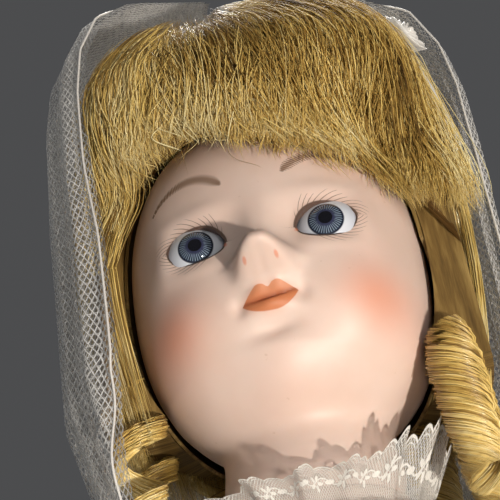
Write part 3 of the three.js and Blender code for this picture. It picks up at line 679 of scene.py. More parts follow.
def bisque_material(name, painted):
    paint = Paint(
        name,
        Roughness=0.42,
        Subsurface_Weight=0.12,
        Subsurface_Radius=(0.0045, 0.0022, 0.0014),
        Subsurface_Scale=0.6,
        Coat_Roughness=0.35,
        Specular_IOR_Level=0.45,
    )
    place = paint.place()
    cloud = paint.noise(place, 55.0, 4.0)
    grain = paint.noise(place, 2600.0, 3.0, 0.6)
    colour = paint.mix(cloud.ramp(0.3, 0.75), (0.74, 0.545, 0.455), (0.80, 0.62, 0.535))
    specks = paint.noise(place, 520.0, 2.0).ramp(0.735, 0.775)
    colour = paint.mix(specks * 0.35, colour, (0.55, 0.36, 0.25))
    shine = 0.43 + grain * 0.10 - cloud * 0.05
    if painted:
        x, y, z = (value * 1000 for value in paint.split(place))
        side = x.maths("ABSOLUTE")
        face = paint.attribute("face")
        cheek = (side - 20.4) * (side - 20.4) / 46 + (z - 341.0) * (z - 341.0) / 50
        rouge = (cheek * -1).maths("EXPONENT") * (0.86 + cloud * 0.28) * face
        colour = paint.mix(rouge * 0.62, colour, (0.76, 0.25, 0.13))
        warmth = (((z - 328.0) * (z - 328.0) / 30 + x * x / 60) * -1).maths("EXPONENT") * face
        colour = paint.mix(warmth * 0.12, colour, (0.80, 0.36, 0.24))

        gap, along = paint.attribute("brow_gap"), paint.attribute("brow_along")
        taper = along.ramp(1.08, 0.45) * along.ramp(-0.06, 0.10)
        brow_width = 0.34 + taper * 0.98
        hatch = strokes(along * 26 + z * 0.75, 0.46)
        edge = gap + (paint.noise(place, 1500.0) - 0.5) * 0.35
        within = 1 - (edge - brow_width).ramp(-0.18, 0.08)
        solid = 1 - (edge - brow_width * 0.30 - 0.16).ramp(-0.1, 0.25)
        density = hatch * taper * 0.5 + solid * 0.4 + 0.55 - taper * 0.33
        brow = within * density * face * along.ramp(1.0, 0.985)
        colour = paint.mix(brow.ramp(0.0, 1.05), colour, (0.23, 0.135, 0.085))

        rim, rim_along = paint.attribute("rim_gap"), paint.attribute("rim_along")
        upper = 1 - (rim_along - 0.49).ramp(-0.004, 0.004)
        line_width = 0.30 + upper * 0.22
        liner = (1 - (rim - line_width).ramp(-0.10, 0.16)) * face
        colour = paint.mix(liner * 0.93, colour, (0.030, 0.017, 0.013))
        shade = (1 - (rim - 1.0).ramp(-0.9, 0.9)) * upper * face * 0.25
        colour = paint.mix(shade, colour, (0.30, 0.17, 0.12))
        slant = rim * (0.034 - upper * 0.066)  # every lash leans towards the temple
        lash_phase = (rim_along + slant) * 31 + rim * rim * 0.03
        reach_up = 2.3 + (rim_along * 47).maths("SINE") * 0.5 + rim_along * 1.8
        lash_length = upper * reach_up * rim_along.ramp(0.0, 0.16)
        lower_lash = (1 - upper) * (1 - rim_along.ramp(0.70, 0.86)) * 2.4
        lash_length = lash_length + lower_lash
        thin = 0.21 * (1 - rim / (lash_length + 0.05)).ramp(-0.3, 1.0)
        lash = strokes(lash_phase, thin) * (1 - (rim - lash_length).ramp(-0.25, 0.0)) * face
        colour = paint.mix(lash * 0.72, colour, (0.13, 0.065, 0.042))

        lips = paint.attribute("lips")
        mouth = (lips + (cloud - 0.5) * 0.12).ramp(-0.10, 0.13)
        halo = lips.ramp(-1.3, 0.3) * 0.22
        colour = paint.mix(halo, colour, (0.84, 0.37, 0.24))
        lip_colour = paint.mix((z - 343.4).ramp(-1.0, 1.6), (0.60, 0.205, 0.085), (0.66, 0.275, 0.14))
        # the dark band at the parting is partly the painted line between the lips, partly painted shade in
        # the groove
        level = z - PARTING - x * x * 0.012 - x * LIP_TILT
        part = (level * level * -4.5).maths("EXPONENT")
        lip_colour = paint.mix(part * 0.7, lip_colour, (0.30, 0.070, 0.026))
        colour = paint.mix(mouth, colour, lip_colour)
        shine = shine + mouth * 0.08

        dots = [(3.1, 347.7, 0.5, 0.6), (7.3, 357.3, 0.6, 0.5)]
        for dot_x, dot_z, size, force in dots:
            spot = (side - dot_x) * (side - dot_x) + (z - dot_z) * (z - dot_z)
            dot = (1 - (spot / (size * size)).ramp(0.1, 1.0)) * face
            colour = paint.mix(dot * force, colour, (0.72, 0.20, 0.09))
    bump = paint.bump(grain * 0.6 + cloud * 0.4, 0.00004, 0.35)
    return paint.feed(Base_Color=colour, Roughness=shine, Normal=bump)


wear(head, bisque_material("painted_bisque", painted=True))
choose(head)
bpy.ops.object.shade_smooth_by_angle(angle=math.radians(42))
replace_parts(head, "head_shell")
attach(head, "head")
print("painted head done")

# %% [markdown]
# ## Glass eyes
# Each eye is blown glass: a white ball with a coloured button. The iris shows a ring of fine pale
# threads round a black pupil, with a dark edge, all under a clear dome. The threads are drawn by
# angle round the pupil, and each gets its own length and brightness from noise.

# %% Glass eyes


def glass_eye_material(name, side):
    paint = Paint(name, Roughness=0.07, Coat_Weight=1.0, Coat_Roughness=0.02, Coat_IOR=1.52)
    x, y, z = (value * 1000 for value in paint.split(paint.place()))
    dx, dz = (x - side * EYE_X) * 1.13, (z - EYE_Z) * 1.13
    radius = (dx * dx + dz * dz).maths("SQRT")
    angle = dz.maths("ARCTAN2", dx) / (2 * math.pi)
    wobble = paint.noise(paint.join(angle * 60, radius * 0.25), 1.0, 2.0)
    threads = (((angle * 38) + wobble * 0.35 + 0.5).maths("FRACT") - 0.5).maths("ABSOLUTE") * 2
    lit = 1 - threads.ramp(0.12, 0.50)
    length = paint.noise(paint.join(angle * 38, 3.0), 1.0, 1.0)
    inner, outer = 2.15 + (length - 0.5) * 1.2, 3.75 + (length - 0.5) * 0.4
    band = (radius - inner).ramp(-0.2, 0.35) * (1 - (radius - outer).ramp(-0.2, 0.15))
    # the white is painted darker towards the edge of the ball, as painted shade in the corners under the
    # lids
    white = paint.mix(radius.ramp(4.0, 7.0), (0.74, 0.77, 0.83), (0.62, 0.63, 0.70))
    blue = paint.mix(radius.ramp(1.5, 3.4), (0.034, 0.038, 0.085), (0.022, 0.034, 0.055))
    blue = paint.mix(lit * band * (0.6 + length * 0.5), blue, (0.30, 0.38, 0.48))
    blue = paint.mix(radius.ramp(3.55, 4.0) * 0.85, blue, (0.008, 0.012, 0.034))
    blue = paint.mix((radius - 1.62).ramp(0.10, -0.10), blue, (0.003, 0.003, 0.006))
    colour = paint.mix(radius.ramp(4.02, 4.32), blue, white)
    shine = 0.06 + radius.ramp(3.9, 4.3) * 0.06
    return paint.feed(Base_Color=colour, Roughness=shine)


def glass_eye(name, side):
    deselect()
    bpy.ops.mesh.primitive_uv_sphere_add(segments=96, ring_count=64, radius=EYE_RADIUS * MM)
    eye = bpy.context.object
    eye.name = name
    eye.rotation_euler = (math.pi / 2, 0, 0)
    settle(eye)
    p = coordinates(eye)
    across = np.hypot(p[:, 0], p[:, 2])
    dome = np.clip(1 - (across / 4.6) ** 2, 0, 1) ** 1.5 * (p[:, 1] < 0)
    p[:, 1] = p[:, 1] - 0.3 * dome + (EYE_RADIUS - 7.8)
    move_points(eye, p + np.array([side * EYE_X, EYE_Y, EYE_Z]))
    smooth(eye)
    wear(eye, glass_eye_material(name + "_glass", side))
    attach(eye, "head")
    return eye


for label, side in (("left", 1), ("right", -1)):
    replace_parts(glass_eye("glass_" + label, side), "eye_" + label)
print("two eyes set")

# %% [markdown]
# ## The wig
# The real wig is mohair-like synthetic fibre sewn in wefts to a net cap: fine, straight and very
# shiny, combed from a whorl on the crown. It is made the same way here. A smooth under-mass fills the
# cap, and thousands of thin tapering strands are laid over it. Each strand is a three-sided tube with
# few faces. It starts near the whorl, follows the combed dome, and carries its own tone.

# %% The combed shape
HAIR_MIDDLE = np.array([0.0, 2.5, 360.0])
HAIR = {"side": 44.0, "front": 42.5, "back": 41.5, "up": 72.0}
FULL, SQUARE = 2.5, 3.1  # the wig stands squarer from side to side than from front to back
WHORL = np.array([-0.12, -0.50])


def hair_reach(d):
    depth = np.where(d[..., 1] < 0, HAIR["front"], HAIR["back"])
    tall = np.where(d[..., 2] > 0, HAIR["up"], 60.0)
    across = (np.abs(d[..., 0]) / HAIR["side"]) ** SQUARE + (np.abs(d[..., 2]) / tall) ** SQUARE
    total = across ** (FULL / SQUARE) + (np.abs(d[..., 1]) / depth) ** FULL
    return total ** (-1 / FULL)


def combed(around, fall):
    """Unit directions: around turns from the face towards +X, fall goes from the whorl to the side."""
    x = np.sin(around) * np.sin(fall) + WHORL[0] * (1 - np.sin(fall))
    y = -np.cos(around) * np.sin(fall) + WHORL[1] * (1 - np.sin(fall))
    z = np.cos(fall) * np.ones_like(x)
    d = np.stack([x, y, z], axis=-1)
    return d / np.linalg.norm(d, axis=-1, keepdims=True)


def on_hair(d, depth):
    """Places on the combed dome, depth mm under it; at the brow the hair lies down on the forehead."""
    dome = HAIR_MIDDLE + d * (hair_reach(d) - depth)[..., None]
    turn, tilt = np.arctan2(d[..., 0], -d[..., 1]), np.arcsin(np.clip(d[..., 2], -1, 1))
    scalp = head_places(turn, tilt)
    out = scalp - HEAD_MIDDLE
    out = out / np.linalg.norm(out, axis=-1, keepdims=True)
    scalp = scalp + out * (3.4 - np.asarray(depth) * 0.5 + 0 * tilt)[..., None]
    front = ease(np.cos(turn), 0.25, 0.75)
    low = ease(dome[..., 2], 404, 377) * front
    return dome * (1 - low[..., None]) + scalp * low[..., None]


def wander(count, steps, size, waves=2.0):
    """Slow sideways drift for each strand, growing from the root."""
    t = np.linspace(0, 1, steps)
    phase = random.uniform(0, 2 * np.pi, (count, 3))
    swing = sum(
        np.sin(t[None, :] * (k + 1) * waves + phase[:, k : k + 1]) / (k + 1) for k in range(3)
    )
    return size * swing * t[None, :] ** 0.7


def strands(name, paths, thick, tone):
    """Three-sided tapering tubes along the paths (strand, step, xyz), joined in one piece."""
    count, steps, _ = paths.shape
    ahead = np.gradient(paths, axis=1)
    ahead /= np.linalg.norm(ahead, axis=-1, keepdims=True) + 1e-9
    outward = paths - HAIR_MIDDLE
    outward -= (outward * ahead).sum(-1, keepdims=True) * ahead
    outward /= np.linalg.norm(outward, axis=-1, keepdims=True) + 1e-9
    across = np.cross(ahead, outward)
    taper = np.minimum(1, (1 - np.linspace(0, 1, steps)) * 5 + 0.12) * np.minimum(
        1, np.linspace(0, 1, steps) * 8 + 0.3
    )
    girth = (np.asarray(thick)[:, None] * taper[None, :] / 2)[..., None]
    corners = [
        paths + girth * (math.cos(a) * outward + math.sin(a) * across)
        for a in (0, 2 * math.pi / 3, 4 * math.pi / 3)
    ]
    points = np.stack(corners, axis=2)
    index = np.arange(count * steps * 3).reshape(count, steps, 3)
    quads = []
    for a, b in ((0, 1), (1, 2), (2, 0)):
        sides = [index[:, :-1, a], index[:, :-1, b], index[:, 1:, b], index[:, 1:, a]]
        quads.append(np.stack(sides, axis=-1).reshape(-1, 4))
    piece = weave(name, points.reshape(-1, 3), np.concatenate(quads))
    attribute(piece, "tone", np.repeat(tone, steps * 3))
    attribute(piece, "along", np.tile(np.repeat(np.linspace(0, 1, steps), 3), count))
    return piece


print("combing tools ready")

# %% [markdown]
# The fibre is clear golden blonde, with hard little highlights from its low roughness and its coat.
# Its colour is painted darker towards the roots, as painted shade where the strands lie packed, and
# the colour ramp runs from painted shade between the locks at its dark end to a painted highlight at
# its bright end. The colour is driven by each strand's tone, by how far along it a point is, and by
# fine noise, so that no two neighbours match.

# %% Hair fibre


def fibre_material(name):
    paint = Paint(name, Roughness=0.3, Specular_IOR_Level=0.5, Coat_Weight=0.6, Coat_Roughness=0.09)
    place = paint.place()
    tone, along = paint.attribute("tone"), paint.attribute("along")
    patch = paint.noise(place, 75.0, 3.0)
    # points near the root (along near 0) come out darker: painted shade where the strands lie packed
    value = tone * 0.80 + patch * 0.8 - 0.1 + along * 0.30 - 0.36
    # the darkest stop is painted shade between the locks, the brightest a painted highlight
    stops = [
        (0.0, (0.10, 0.052, 0.014)),
        (0.30, (0.43, 0.260, 0.060)),
        (0.58, (0.84, 0.61, 0.19)),
        (1.0, (1.0, 0.88, 0.50)),
    ]
    colour = paint.node("ShaderNodeValToRGB", {"stops": stops}, {"Fac": value})
    shine = 0.36 - tone * 0.18 + patch * 0.1
    return paint.feed(Base_Color=colour, Roughness=shine, Coat_Weight=tone.ramp(0.45, 0.9))


def under_material(name):
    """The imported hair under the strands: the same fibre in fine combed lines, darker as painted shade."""
    paint = Paint(name, Roughness=0.6, Specular_IOR_Level=0.25)
    x, y, z = (value * 1000 for value in paint.split(paint.place()))
    around = (x - 3).maths("ARCTAN2", y - 0.1) / math.pi
    lines = paint.noise(paint.join(around * 150, z * 0.035), 1.0, 4.0, 0.65)
    # all three stops are far darker than the loose fibre: painted shade under the strands
    stops = [
        (0.25, (0.050, 0.027, 0.009)),
        (0.5, (0.19, 0.115, 0.034)),
        (0.75, (0.40, 0.27, 0.090)),
    ]
    colour = paint.node("ShaderNodeValToRGB", {"stops": stops}, {"Fac": lines})
    shine = 0.5 + lines * 0.2
    return paint.feed(Base_Color=colour, Roughness=shine, Normal=paint.bump(lines, 0.0006, 0.6))


fibre = fibre_material("golden_fibre")
under = under_material("packed_fibre_shade")
print("hair materials ready")

# %% [markdown]
# The under-mass is a dome like the combed hair but a little smaller, with the head and the face
# opening cut out of it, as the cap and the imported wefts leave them.

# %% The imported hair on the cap
DRAW_BACK = 3.4


def dome_solid(name, shrink):
    deselect()
    bpy.ops.mesh.primitive_uv_sphere_add(segments=128, ring_count=96, radius=1)
    dome = bpy.context.object
    dome.name = name
    d = coordinates(dome) * MM
    d /= np.linalg.norm(d, axis=1, keepdims=True)
    flat = np.hypot(d[:, 0], d[:, 1])
    hang = d[:, 2] < 0
    level = np.stack([d[:, 0], d[:, 1], np.zeros(len(d))], axis=1)
    level[flat < 1e-4, 0] = 1
    level /= np.linalg.norm(level, axis=1, keepdims=True)
    waist = hair_reach(level) * np.minimum(1, flat / 0.75)
    places = on_hair(d, shrink) - HAIR_MIDDLE
    sides = level * (waist - shrink)[:, None]
    sides[:, 2] = np.maximum(d[:, 2] * 48, -29.0)
    places[hang] = sides[hang]
    move_points(dome, HAIR_MIDDLE + places)
    return dome


def face_cutter():
    """A prism over the face, as wide as the hair leaves bare."""
    outline = [(-35, 318), (-34.5, 350), (-34, 372), (-29, 385), (-20, 389), (-11, 389), (0, 385)]
    outline += [(8, 382.5), (16, 381), (23, 377.5), (28, 374), (35, 366), (42, 352), (44, 318)]
    edge = np.array(outline, dtype=float)
    points = [(x, y, z) for y in (-70, -9) for x, z in edge]
    n = len(edge)
    mesh = bpy.data.meshes.new("face_cutter")
    sides = [(i, (i + 1) % n, n + (i + 1) % n, n + i) for i in range(n)]
    faces = sides + [tuple(range(n))[::-1], tuple(range(n, 2 * n))]
    mesh.from_pydata([tuple(np.array(p) * MM) for p in points], [], faces)
    cutter = bpy.data.objects.new("face_cutter", mesh)
    bpy.context.scene.collection.objects.link(cutter)
    return edit_all(cutter, bpy.ops.mesh.normals_make_consistent, inside=False)


def head_offset(name, gap):
    """A ball like the plain head, grown by gap."""
    deselect()
    bpy.ops.mesh.primitive_uv_sphere_add(segments=64, ring_count=48, radius=1)
    grown = bpy.context.object
    grown.name = name
    ball = coordinates(grown) * MM
    move_points(grown, HEAD_MIDDLE + ball * (round_reach(ball) + gap)[:, None])
    return grown


def below_cap():
    deselect()
    bpy.ops.mesh.primitive_cube_add(size=0.16, location=(0, -0.06, 0.290))
    block = bpy.context.object
    block.rotation_euler = (0.55, 0, 0)
    return settle(block)


packed = dome_solid("wig_packed_hair", DRAW_BACK)
for cutter in (face_cutter(), head_offset("scalp", 1.9)):
    cut_away(packed, cutter)
net_cap = head_offset("wig_net_cap", 1.7)
for cutter in (head_offset("inside", 1.0), face_cutter(), below_cap()):
    cut_away(net_cap, cutter)
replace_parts(net_cap, "wig_cap")
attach(net_cap, "head")
wear(net_cap, under)
choose(packed)
bpy.ops.object.shade_smooth_by_angle(angle=math.radians(40))
wear(packed, under)
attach(packed, "head")
print("packed hair:", len(packed.data.polygons), "faces")

# %% [markdown]
# The fringe is combed forward from the whorl and swept a little to the doll's right. It is cut in a
# low arch just above the brows, but not evenly: some tips fall short and some hang over the forehead.

# %% Fringe
FRINGE_STEPS = 12  # points along each strand
COMB_ROWS = 60  # points along a whole combed path, before the scissors
SHORTEST_PATH = 8
FRINGE_X = (-44, -36, -31, -27, -20, -12, -6, 0, 8, 16, 23, 27, 30, 36, 44)
FRINGE_Z = (362, 369, 377, 382, 384.5, 385, 383.5, 380.5, 378, 376, 372.5, 370, 364, 354, 340)


def fringe_line(x):
    """Height of the cut edge, in millimetres. It slants down to the doll's left."""
    return np.interp(x, FRINGE_X, FRINGE_Z)


class Locks:
    """Hair gathers in locks: strands of one lock share its place, depth, drift and tone."""

    def __init__(self, count, locks, around_range, depth_range, looseness):
        middle = np.radians(random.uniform(*around_range, locks))
        deep, tone = random.uniform(*depth_range, locks), random.normal(0.52, 0.24, locks)
        self.lock = random.integers(0, locks, count)
        self.around = middle[self.lock] + np.radians(random.normal(0, looseness, count))
        self.depth = np.clip(deep[self.lock] + random.normal(0, 0.5, count), *depth_range)
        self.tone = np.clip(tone[self.lock] + random.normal(0, 0.13, count), 0, 1)
        self.bend = np.radians(random.normal(0, 5.0, locks))[self.lock]
        self.middle, self.tip = middle[self.lock], random.normal(0, 2.2, locks)[self.lock]
        self.pinch = random.uniform(0.2, 0.85, locks)[self.lock]
        self.count, self.locks = count, locks

    def drift(self, steps, lock_size, strand_size):
        shared = wander(self.locks, steps, lock_size)[self.lock]
        return shared + wander(self.count, steps, strand_size)


def resample(full, last, steps):
    """The first part of each path, up to its last row, in even steps."""
    where = np.linspace(0, 1, steps)[None, :] * last[:, None]
    low = np.floor(where).astype(int)
    part = (where - low)[..., None]
    high = np.minimum(low + 1, full.shape[1] - 1)
    rows = np.arange(len(full))[:, None]
    return full[rows, low] * (1 - part) + full[rows, high] * part


def fringe_paths(count, locks, steps, depth_range, tip_spread, starts=(0.22, 0.95)):
    group = Locks(count, locks, (-62, 74), depth_range, 3.1)
    sweep = np.radians(random.normal(4, 7, count)) + group.bend * 2.8
    start = random.uniform(*starts, count)
    t = np.linspace(0, 1, COMB_ROWS)
    fall = start[:, None] + (1.5 - start[:, None]) * t
    gather = 1 - group.pinch[:, None] * t**2.5  # the strands of a lock draw together to its tip
    loose = (group.around - group.middle)[:, None]
    around = group.middle[:, None] + loose * gather + sweep[:, None] * (1 - t) ** 1.3
    full = on_hair(combed(around, fall), group.depth[:, None])
    cut = fringe_line(full[..., 0]) + (random.normal(0, tip_spread, count) + group.tip * 0.6)[:, None]
    above = full[..., 2] > cut
    last = np.where(above.all(axis=1), COMB_ROWS - 1, np.argmin(above, axis=1))
    paths = resample(full, last, steps)
    paths[..., 0] += group.drift(steps, 3.4, 1.2)
    paths[..., 1] += group.drift(steps, 1.0, 0.5)
    paths[..., 2] += group.drift(steps, 0.7, 0.4)
    keep = last > SHORTEST_PATH
    return paths[keep], group.tone[keep]


def hair_piece(name, paths, tone, thickness=(0.15, 0.25)):
    thick = random.uniform(*thickness, len(paths))
    piece = strands(name, paths, thick, tone)
    wear(piece, fibre)
    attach(piece, "head")
    print(name, len(paths), "strands,", len(piece.data.polygons) * 2, "triangles")
    return piece


fringe = hair_piece("wig_fringe", *fringe_paths(2900, 130, FRINGE_STEPS, (0.0, 4.8), 0.9))
top_paths = fringe_paths(1500, 90, FRINGE_STEPS, (-1.8, 0.8), 1.3, (0.26, 0.7))
hair_piece("wig_fringe_top", *top_paths)
loose_tips = fringe_paths(300, 80, FRINGE_STEPS, (1.0, 5.0), 3.2)
hair_piece("wig_fringe_wisps", *loose_tips, (0.06, 0.11))

# %% [markdown]
# The long hair falls from the same whorl over the sides and back. It follows the dome to its widest
# level and then hangs, drawing in slightly towards the curls.

# %% Long hair, sides and back
LONG_STEPS, HANG_STEPS = 16, 5  # points along each strand, and those of them that hang free


def long_paths(count, steps, around_range, bulge, depth_range, end_range):
    group = Locks(count, count // 12, around_range, depth_range, 1.6)
    ends, depth = group.around, group.depth
    start = random.uniform(0.1, 1.0, count)
    side = np.sign(ends)
    t = np.linspace(0, 1, steps - HANG_STEPS)[None, :]
    fall = start[:, None] + (1.5 - start[:, None]) * t
    around = ends[:, None] - np.radians(bulge) * side[:, None] * (1 - t) ** 0.8
    around = around + group.bend[:, None] * (1 - t)
    over = on_hair(combed(around, fall), depth[:, None])
    base = over[:, -1]
    bottom = random.uniform(*end_range, count)
    k = np.linspace(0, 1, HANG_STEPS + 1)[1:][None, :, None]
    hang = np.repeat(base[:, None, :], HANG_STEPS, axis=1)
    middle = np.array([0.0, 4.0, 0.0])
    flat = (base - middle) * np.array([1.0, 1.0, 0.0])
    hang = hang - k**1.5 * (flat * 0.13)[:, None, :]
    hang[..., 2] = base[:, None, 2] + (bottom - base[:, 2])[:, None] * k[..., 0]
    paths = np.concatenate([over, hang], axis=1)
    drift = group.drift(steps, 1.0, 0.5)
    tangent = np.stack([np.cos(ends), np.sin(ends)], axis=1)
    paths[..., 0] += drift * tangent[:, :1]
    paths[..., 1] += drift * tangent[:, 1:]
    return paths, group.tone


groups = {
    "wig_long_right": (2100, (-128, -60), 10, (0.0, 5.0), (322, 333)),
    "wig_long_left": (1900, (84, 128), 24, (0.0, 5.0), (322, 333)),
    "wig_long_back_right": (1500, (-180, -120), 8, (0.0, 3.5), (320, 332)),
    "wig_long_back_left": (1500, (120, 180), 8, (0.0, 3.5), (320, 332)),
}
for name, (count, spread, bulge, depths, ends) in groups.items():
    hair_piece(name, *long_paths(count, LONG_STEPS, spread, bulge, depths, ends))

# %% [markdown]
# Seven sausage curls hang under the long hair. Each is a ribbon of strands wound in a slack coil that
# narrows towards its tip, as the fibre keeps the shape of the rod it was set on.

# %% Curls
CURL_ANGLES = (66, 100, 136, 180, 224, 260, 294)
CURL_REACH = 34.8  # from the head's axis to a curl's
CURL_STRANDS, CURL_STEPS, CURL_TURNS = 420, 26, 2.1


def curl_paths(count, steps, angle, turns, hand):
    bearing = math.radians(angle)
    centre = np.array([CURL_REACH * math.sin(bearing), 4 - CURL_REACH * math.cos(bearing)])
    t = np.linspace(0, 1, steps)[None, :]
    place = random.uniform(0, 1, count)[:, None]
    layer = random.uniform(0, 1, count)[:, None]
    phase = place * 4.4 + hand * bearing
    turn = phase + hand * turns * 2 * np.pi * t
    radius = (6.3 - 1.6 * layer) * (1 - 0.30 * t) * ease(t, -0.35, 0.25)
    z = 336 + (place - 0.5) * 5 - 30.5 * t
    x = centre[0] * (1 + 0.04 * t) + radius * np.cos(turn) + 0.15 * random.normal(0, 1, (count, 1))
    y = centre[1] * (1 + 0.04 * t) + radius * np.sin(turn) + 0.15 * random.normal(0, 1, (count, 1))
    return np.stack([x, y, z], axis=-1)


for number, angle in enumerate(CURL_ANGLES, start=1):
    hand = 1 if angle < 180 else -1
    paths = curl_paths(CURL_STRANDS, CURL_STEPS, angle, CURL_TURNS, hand)
    tone = np.clip(random.normal(0.55, 0.2, len(paths)), 0, 1)
    curl = hair_piece(f"curl_{number}", paths, tone, (0.2, 0.34))
    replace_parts(curl, f"ringlet_{number}")
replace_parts(packed, "wig_hair")
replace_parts(fringe, "wig_bangs")

# %% [markdown]
# ## Cloth: satin, cotton, tulle and lace
# Four cloths dress the doll. Satin is closely woven and shiny along one thread. Cotton is plain and
# dull. Tulle is a net, so most of it is air: its threads are drawn where two families of slanting lines
# and a fainter level one pass, and the rest is nearly transparent. Lace is a finer net with flowers and
# a scalloped edge worked on it. All four are drawn on the cloth's own uv, which is measured in metres
# on the cloth.

# %% Cloth materials


def threads(value, pitch, share):
    """1 on lines a pitch apart, each covering that share of it; value and pitch are in mm."""
    away = ((value / pitch).maths("FRACT") - 0.5).maths("ABSOLUTE")
    return 1 - (away - share / 2).ramp(-0.05, 0.05)


def cloth_uv(paint, ripple=0.25):
    """The uv in millimetres, with the slight wander that no real thread is without."""
    u, v, _ = paint.split(paint.uv())
    u, v = u * 1000, v * 1000
    drift = paint.noise(paint.join(u * 0.12, v * 0.12), 1.0, 2.0)
    return u + (drift - 0.5) * ripple * 4, v + (drift - 0.5) * ripple * 3


def satin_material(name, colour=(0.80, 0.78, 0.74), dark=(0.66, 0.63, 0.59)):
    paint = Paint(name, Roughness=0.34, Sheen_Weight=0.35, Sheen_Roughness=0.35)
    u, v = cloth_uv(paint)
    warp = paint.noise(paint.join(u * 3.2, v * 0.16), 1.0, 2.0)
    weft = paint.noise(paint.join(u * 0.2, v * 2.6), 1.0, 2.0)
    tint = paint.mix(warp * 0.7 + weft * 0.3, dark, colour)
    shine = 0.26 + warp * 0.2
    return paint.feed(Base_Color=tint, Roughness=shine, Normal=paint.bump(warp + weft, 0.0001, 0.5))


def cotton_material(name, colour=(0.74, 0.70, 0.63), dark=(0.58, 0.53, 0.46)):
    """Plain weave by place, so that it also suits stuffed pieces."""
    paint = Paint(name, Roughness=0.85, Sheen_Weight=0.2, Sheen_Roughness=0.5)
    x, y, z = (value * 1000 for value in paint.split(paint.place()))
    warp = ((x + y * 0.7) * 7.5).maths("SINE")
    weft = (z * 7.5).maths("SINE")
    weave_height = warp * weft * 0.5 + 0.5
    patch = paint.noise(paint.place(), 60.0, 3.0)
    tint = paint.mix(weave_height * 0.5 + patch * 0.5, dark, colour)
    shine = 0.78 + patch * 0.14
    return paint.feed(Base_Color=tint, Roughness=shine, Normal=paint.bump(weave_height, 0.00012, 0.6))


def tulle_material(name, pitch=1.45, share=0.2, colour=(0.80, 0.79, 0.77)):
    paint = Paint(name, Roughness=0.42, Sheen_Weight=0.4, Sheen_Roughness=0.3)
    u, v = cloth_uv(paint, 0.3)
    one = threads(u + v * 0.62, pitch, share)
    two = threads(u - v * 0.62, pitch, share)
    three = threads(v, pitch * 1.62, share * 0.55) * 0.6
    net = one.maths("MAXIMUM", two).maths("MAXIMUM", three)
    knots = one * two
    slub = paint.noise(paint.join(u * 0.5, v * 0.5), 1.0, 3.0)
    tint = paint.mix(slub.ramp(0.3, 0.7), (0.58, 0.57, 0.55), colour)
    alpha = net * (0.72 + slub * 0.3) + 0.09
    shine = 0.34 + slub * 0.2
    normal = paint.bump(net + knots * 0.5, 0.0001, 0.7)
    return paint.feed(Base_Color=tint, Roughness=shine, Alpha=alpha, Normal=normal)


def lace_material(name, depth, motif=8.5, flower=2.3, cover=0.0, scallop=4.2):
    """Lace whose gathered edge is at v = 0 and whose scalloped edge is at v = depth, in mm."""
    paint = Paint(name, Roughness=0.6, Sheen_Weight=0.35, Sheen_Roughness=0.4)
    u, v = cloth_uv(paint, 0.12)
    net = threads(u + v * 0.7, 0.82, 0.24).maths("MAXIMUM", threads(u - v * 0.7, 0.82, 0.24))
    shape = 0
    rows = max(1, round(depth / motif))
    for row in range(rows):
        at = depth * (row + 0.5) / rows
        cu = ((u / motif + 0.5 * (row % 2)).maths("FRACT") - 0.5) * motif
        cv = v - at
        r = (cu * cu + cv * cv).maths("SQRT")
        angle = cv.maths("ARCTAN2", cu)
        petals = flower * (0.72 + 0.36 * (angle * 5).maths("COSINE"))
        bloom = 1 - (r - petals).ramp(-0.25, 0.15)
        eye = 1 - (r - 0.55).ramp(-0.12, 0.12)
        stem_gap = (cv - 1.1 * (cu * (2 * math.pi / motif)).maths("SINE") - 0.4).maths("ABSOLUTE")
        stem = 1 - (stem_gap - 0.22).ramp(-0.1, 0.15)
        leaf_u = ((u / motif + 0.5 * (row % 2) + 0.5).maths("FRACT") - 0.5) * motif
        leaf = (leaf_u * leaf_u / 2.0 + (cv - 0.3) * (cv - 0.3) / 0.5).maths("SQRT")
        leaves = 1 - (leaf - 1.0).ramp(-0.15, 0.15)
        part = (bloom - eye).maths("MAXIMUM", stem).maths("MAXIMUM", leaves)
        shape = part if row == 0 else shape.maths("MAXIMUM", part)
    wave = (u * (math.pi / scallop)).maths("SINE").maths("ABSOLUTE")
    border = v - (depth - 1.7 + 1.5 * wave)
    cord = 1 - (border.maths("ABSOLUTE") - 0.3).ramp(-0.12, 0.12)
    second = 1 - ((border + 1.1).maths("ABSOLUTE") - 0.14).ramp(-0.08, 0.1)
    within = 1 - (border - 0.3).ramp(-0.05, 0.1)
    solid = shape.maths("MAXIMUM", cord).maths("MAXIMUM", second)
    fuzz = paint.noise(paint.join(u * 2.2, v * 2.2), 1.0, 3.0)
    tint = paint.mix(solid * 0.7 + fuzz * 0.3, (0.68, 0.65, 0.60), (0.86, 0.83, 0.77))
    alpha = net.maths("MAXIMUM", solid * (0.8 + fuzz * 0.2)).maths("MAXIMUM", cover) * within
    normal = paint.bump(solid + net * 0.4 + fuzz * 0.2, 0.00022, 0.8)
    return paint.feed(Base_Color=tint, Alpha=alpha, Roughness=0.5 + fuzz * 0.2, Normal=normal)


satin = satin_material("ivory_satin")
cotton = cotton_material("unbleached_cotton")
white_cotton = cotton_material("white_cotton", (0.80, 0.78, 0.74), (0.66, 0.64, 0.60))
tulle = tulle_material("bridal_tulle")
print("cloth materials ready")

# %% [markdown]
# A gathered or fitted cloth is woven row by row. Each row is a ring, or part of one, round the doll.
# The helper measures the cloth as it goes, so that the weave, net or lace keeps its true size in the
# folds. The flat size is worked back from the same measure, so it always agrees with the mesh. No side
# is given under 10 mm: a narrower ribbon is given a 10.5 mm side and a shorter length instead, with the
# same area, and that is not the size it would really be cut to.

# %% Weaving cloth
SHORTEST_SIDE = 0.0105


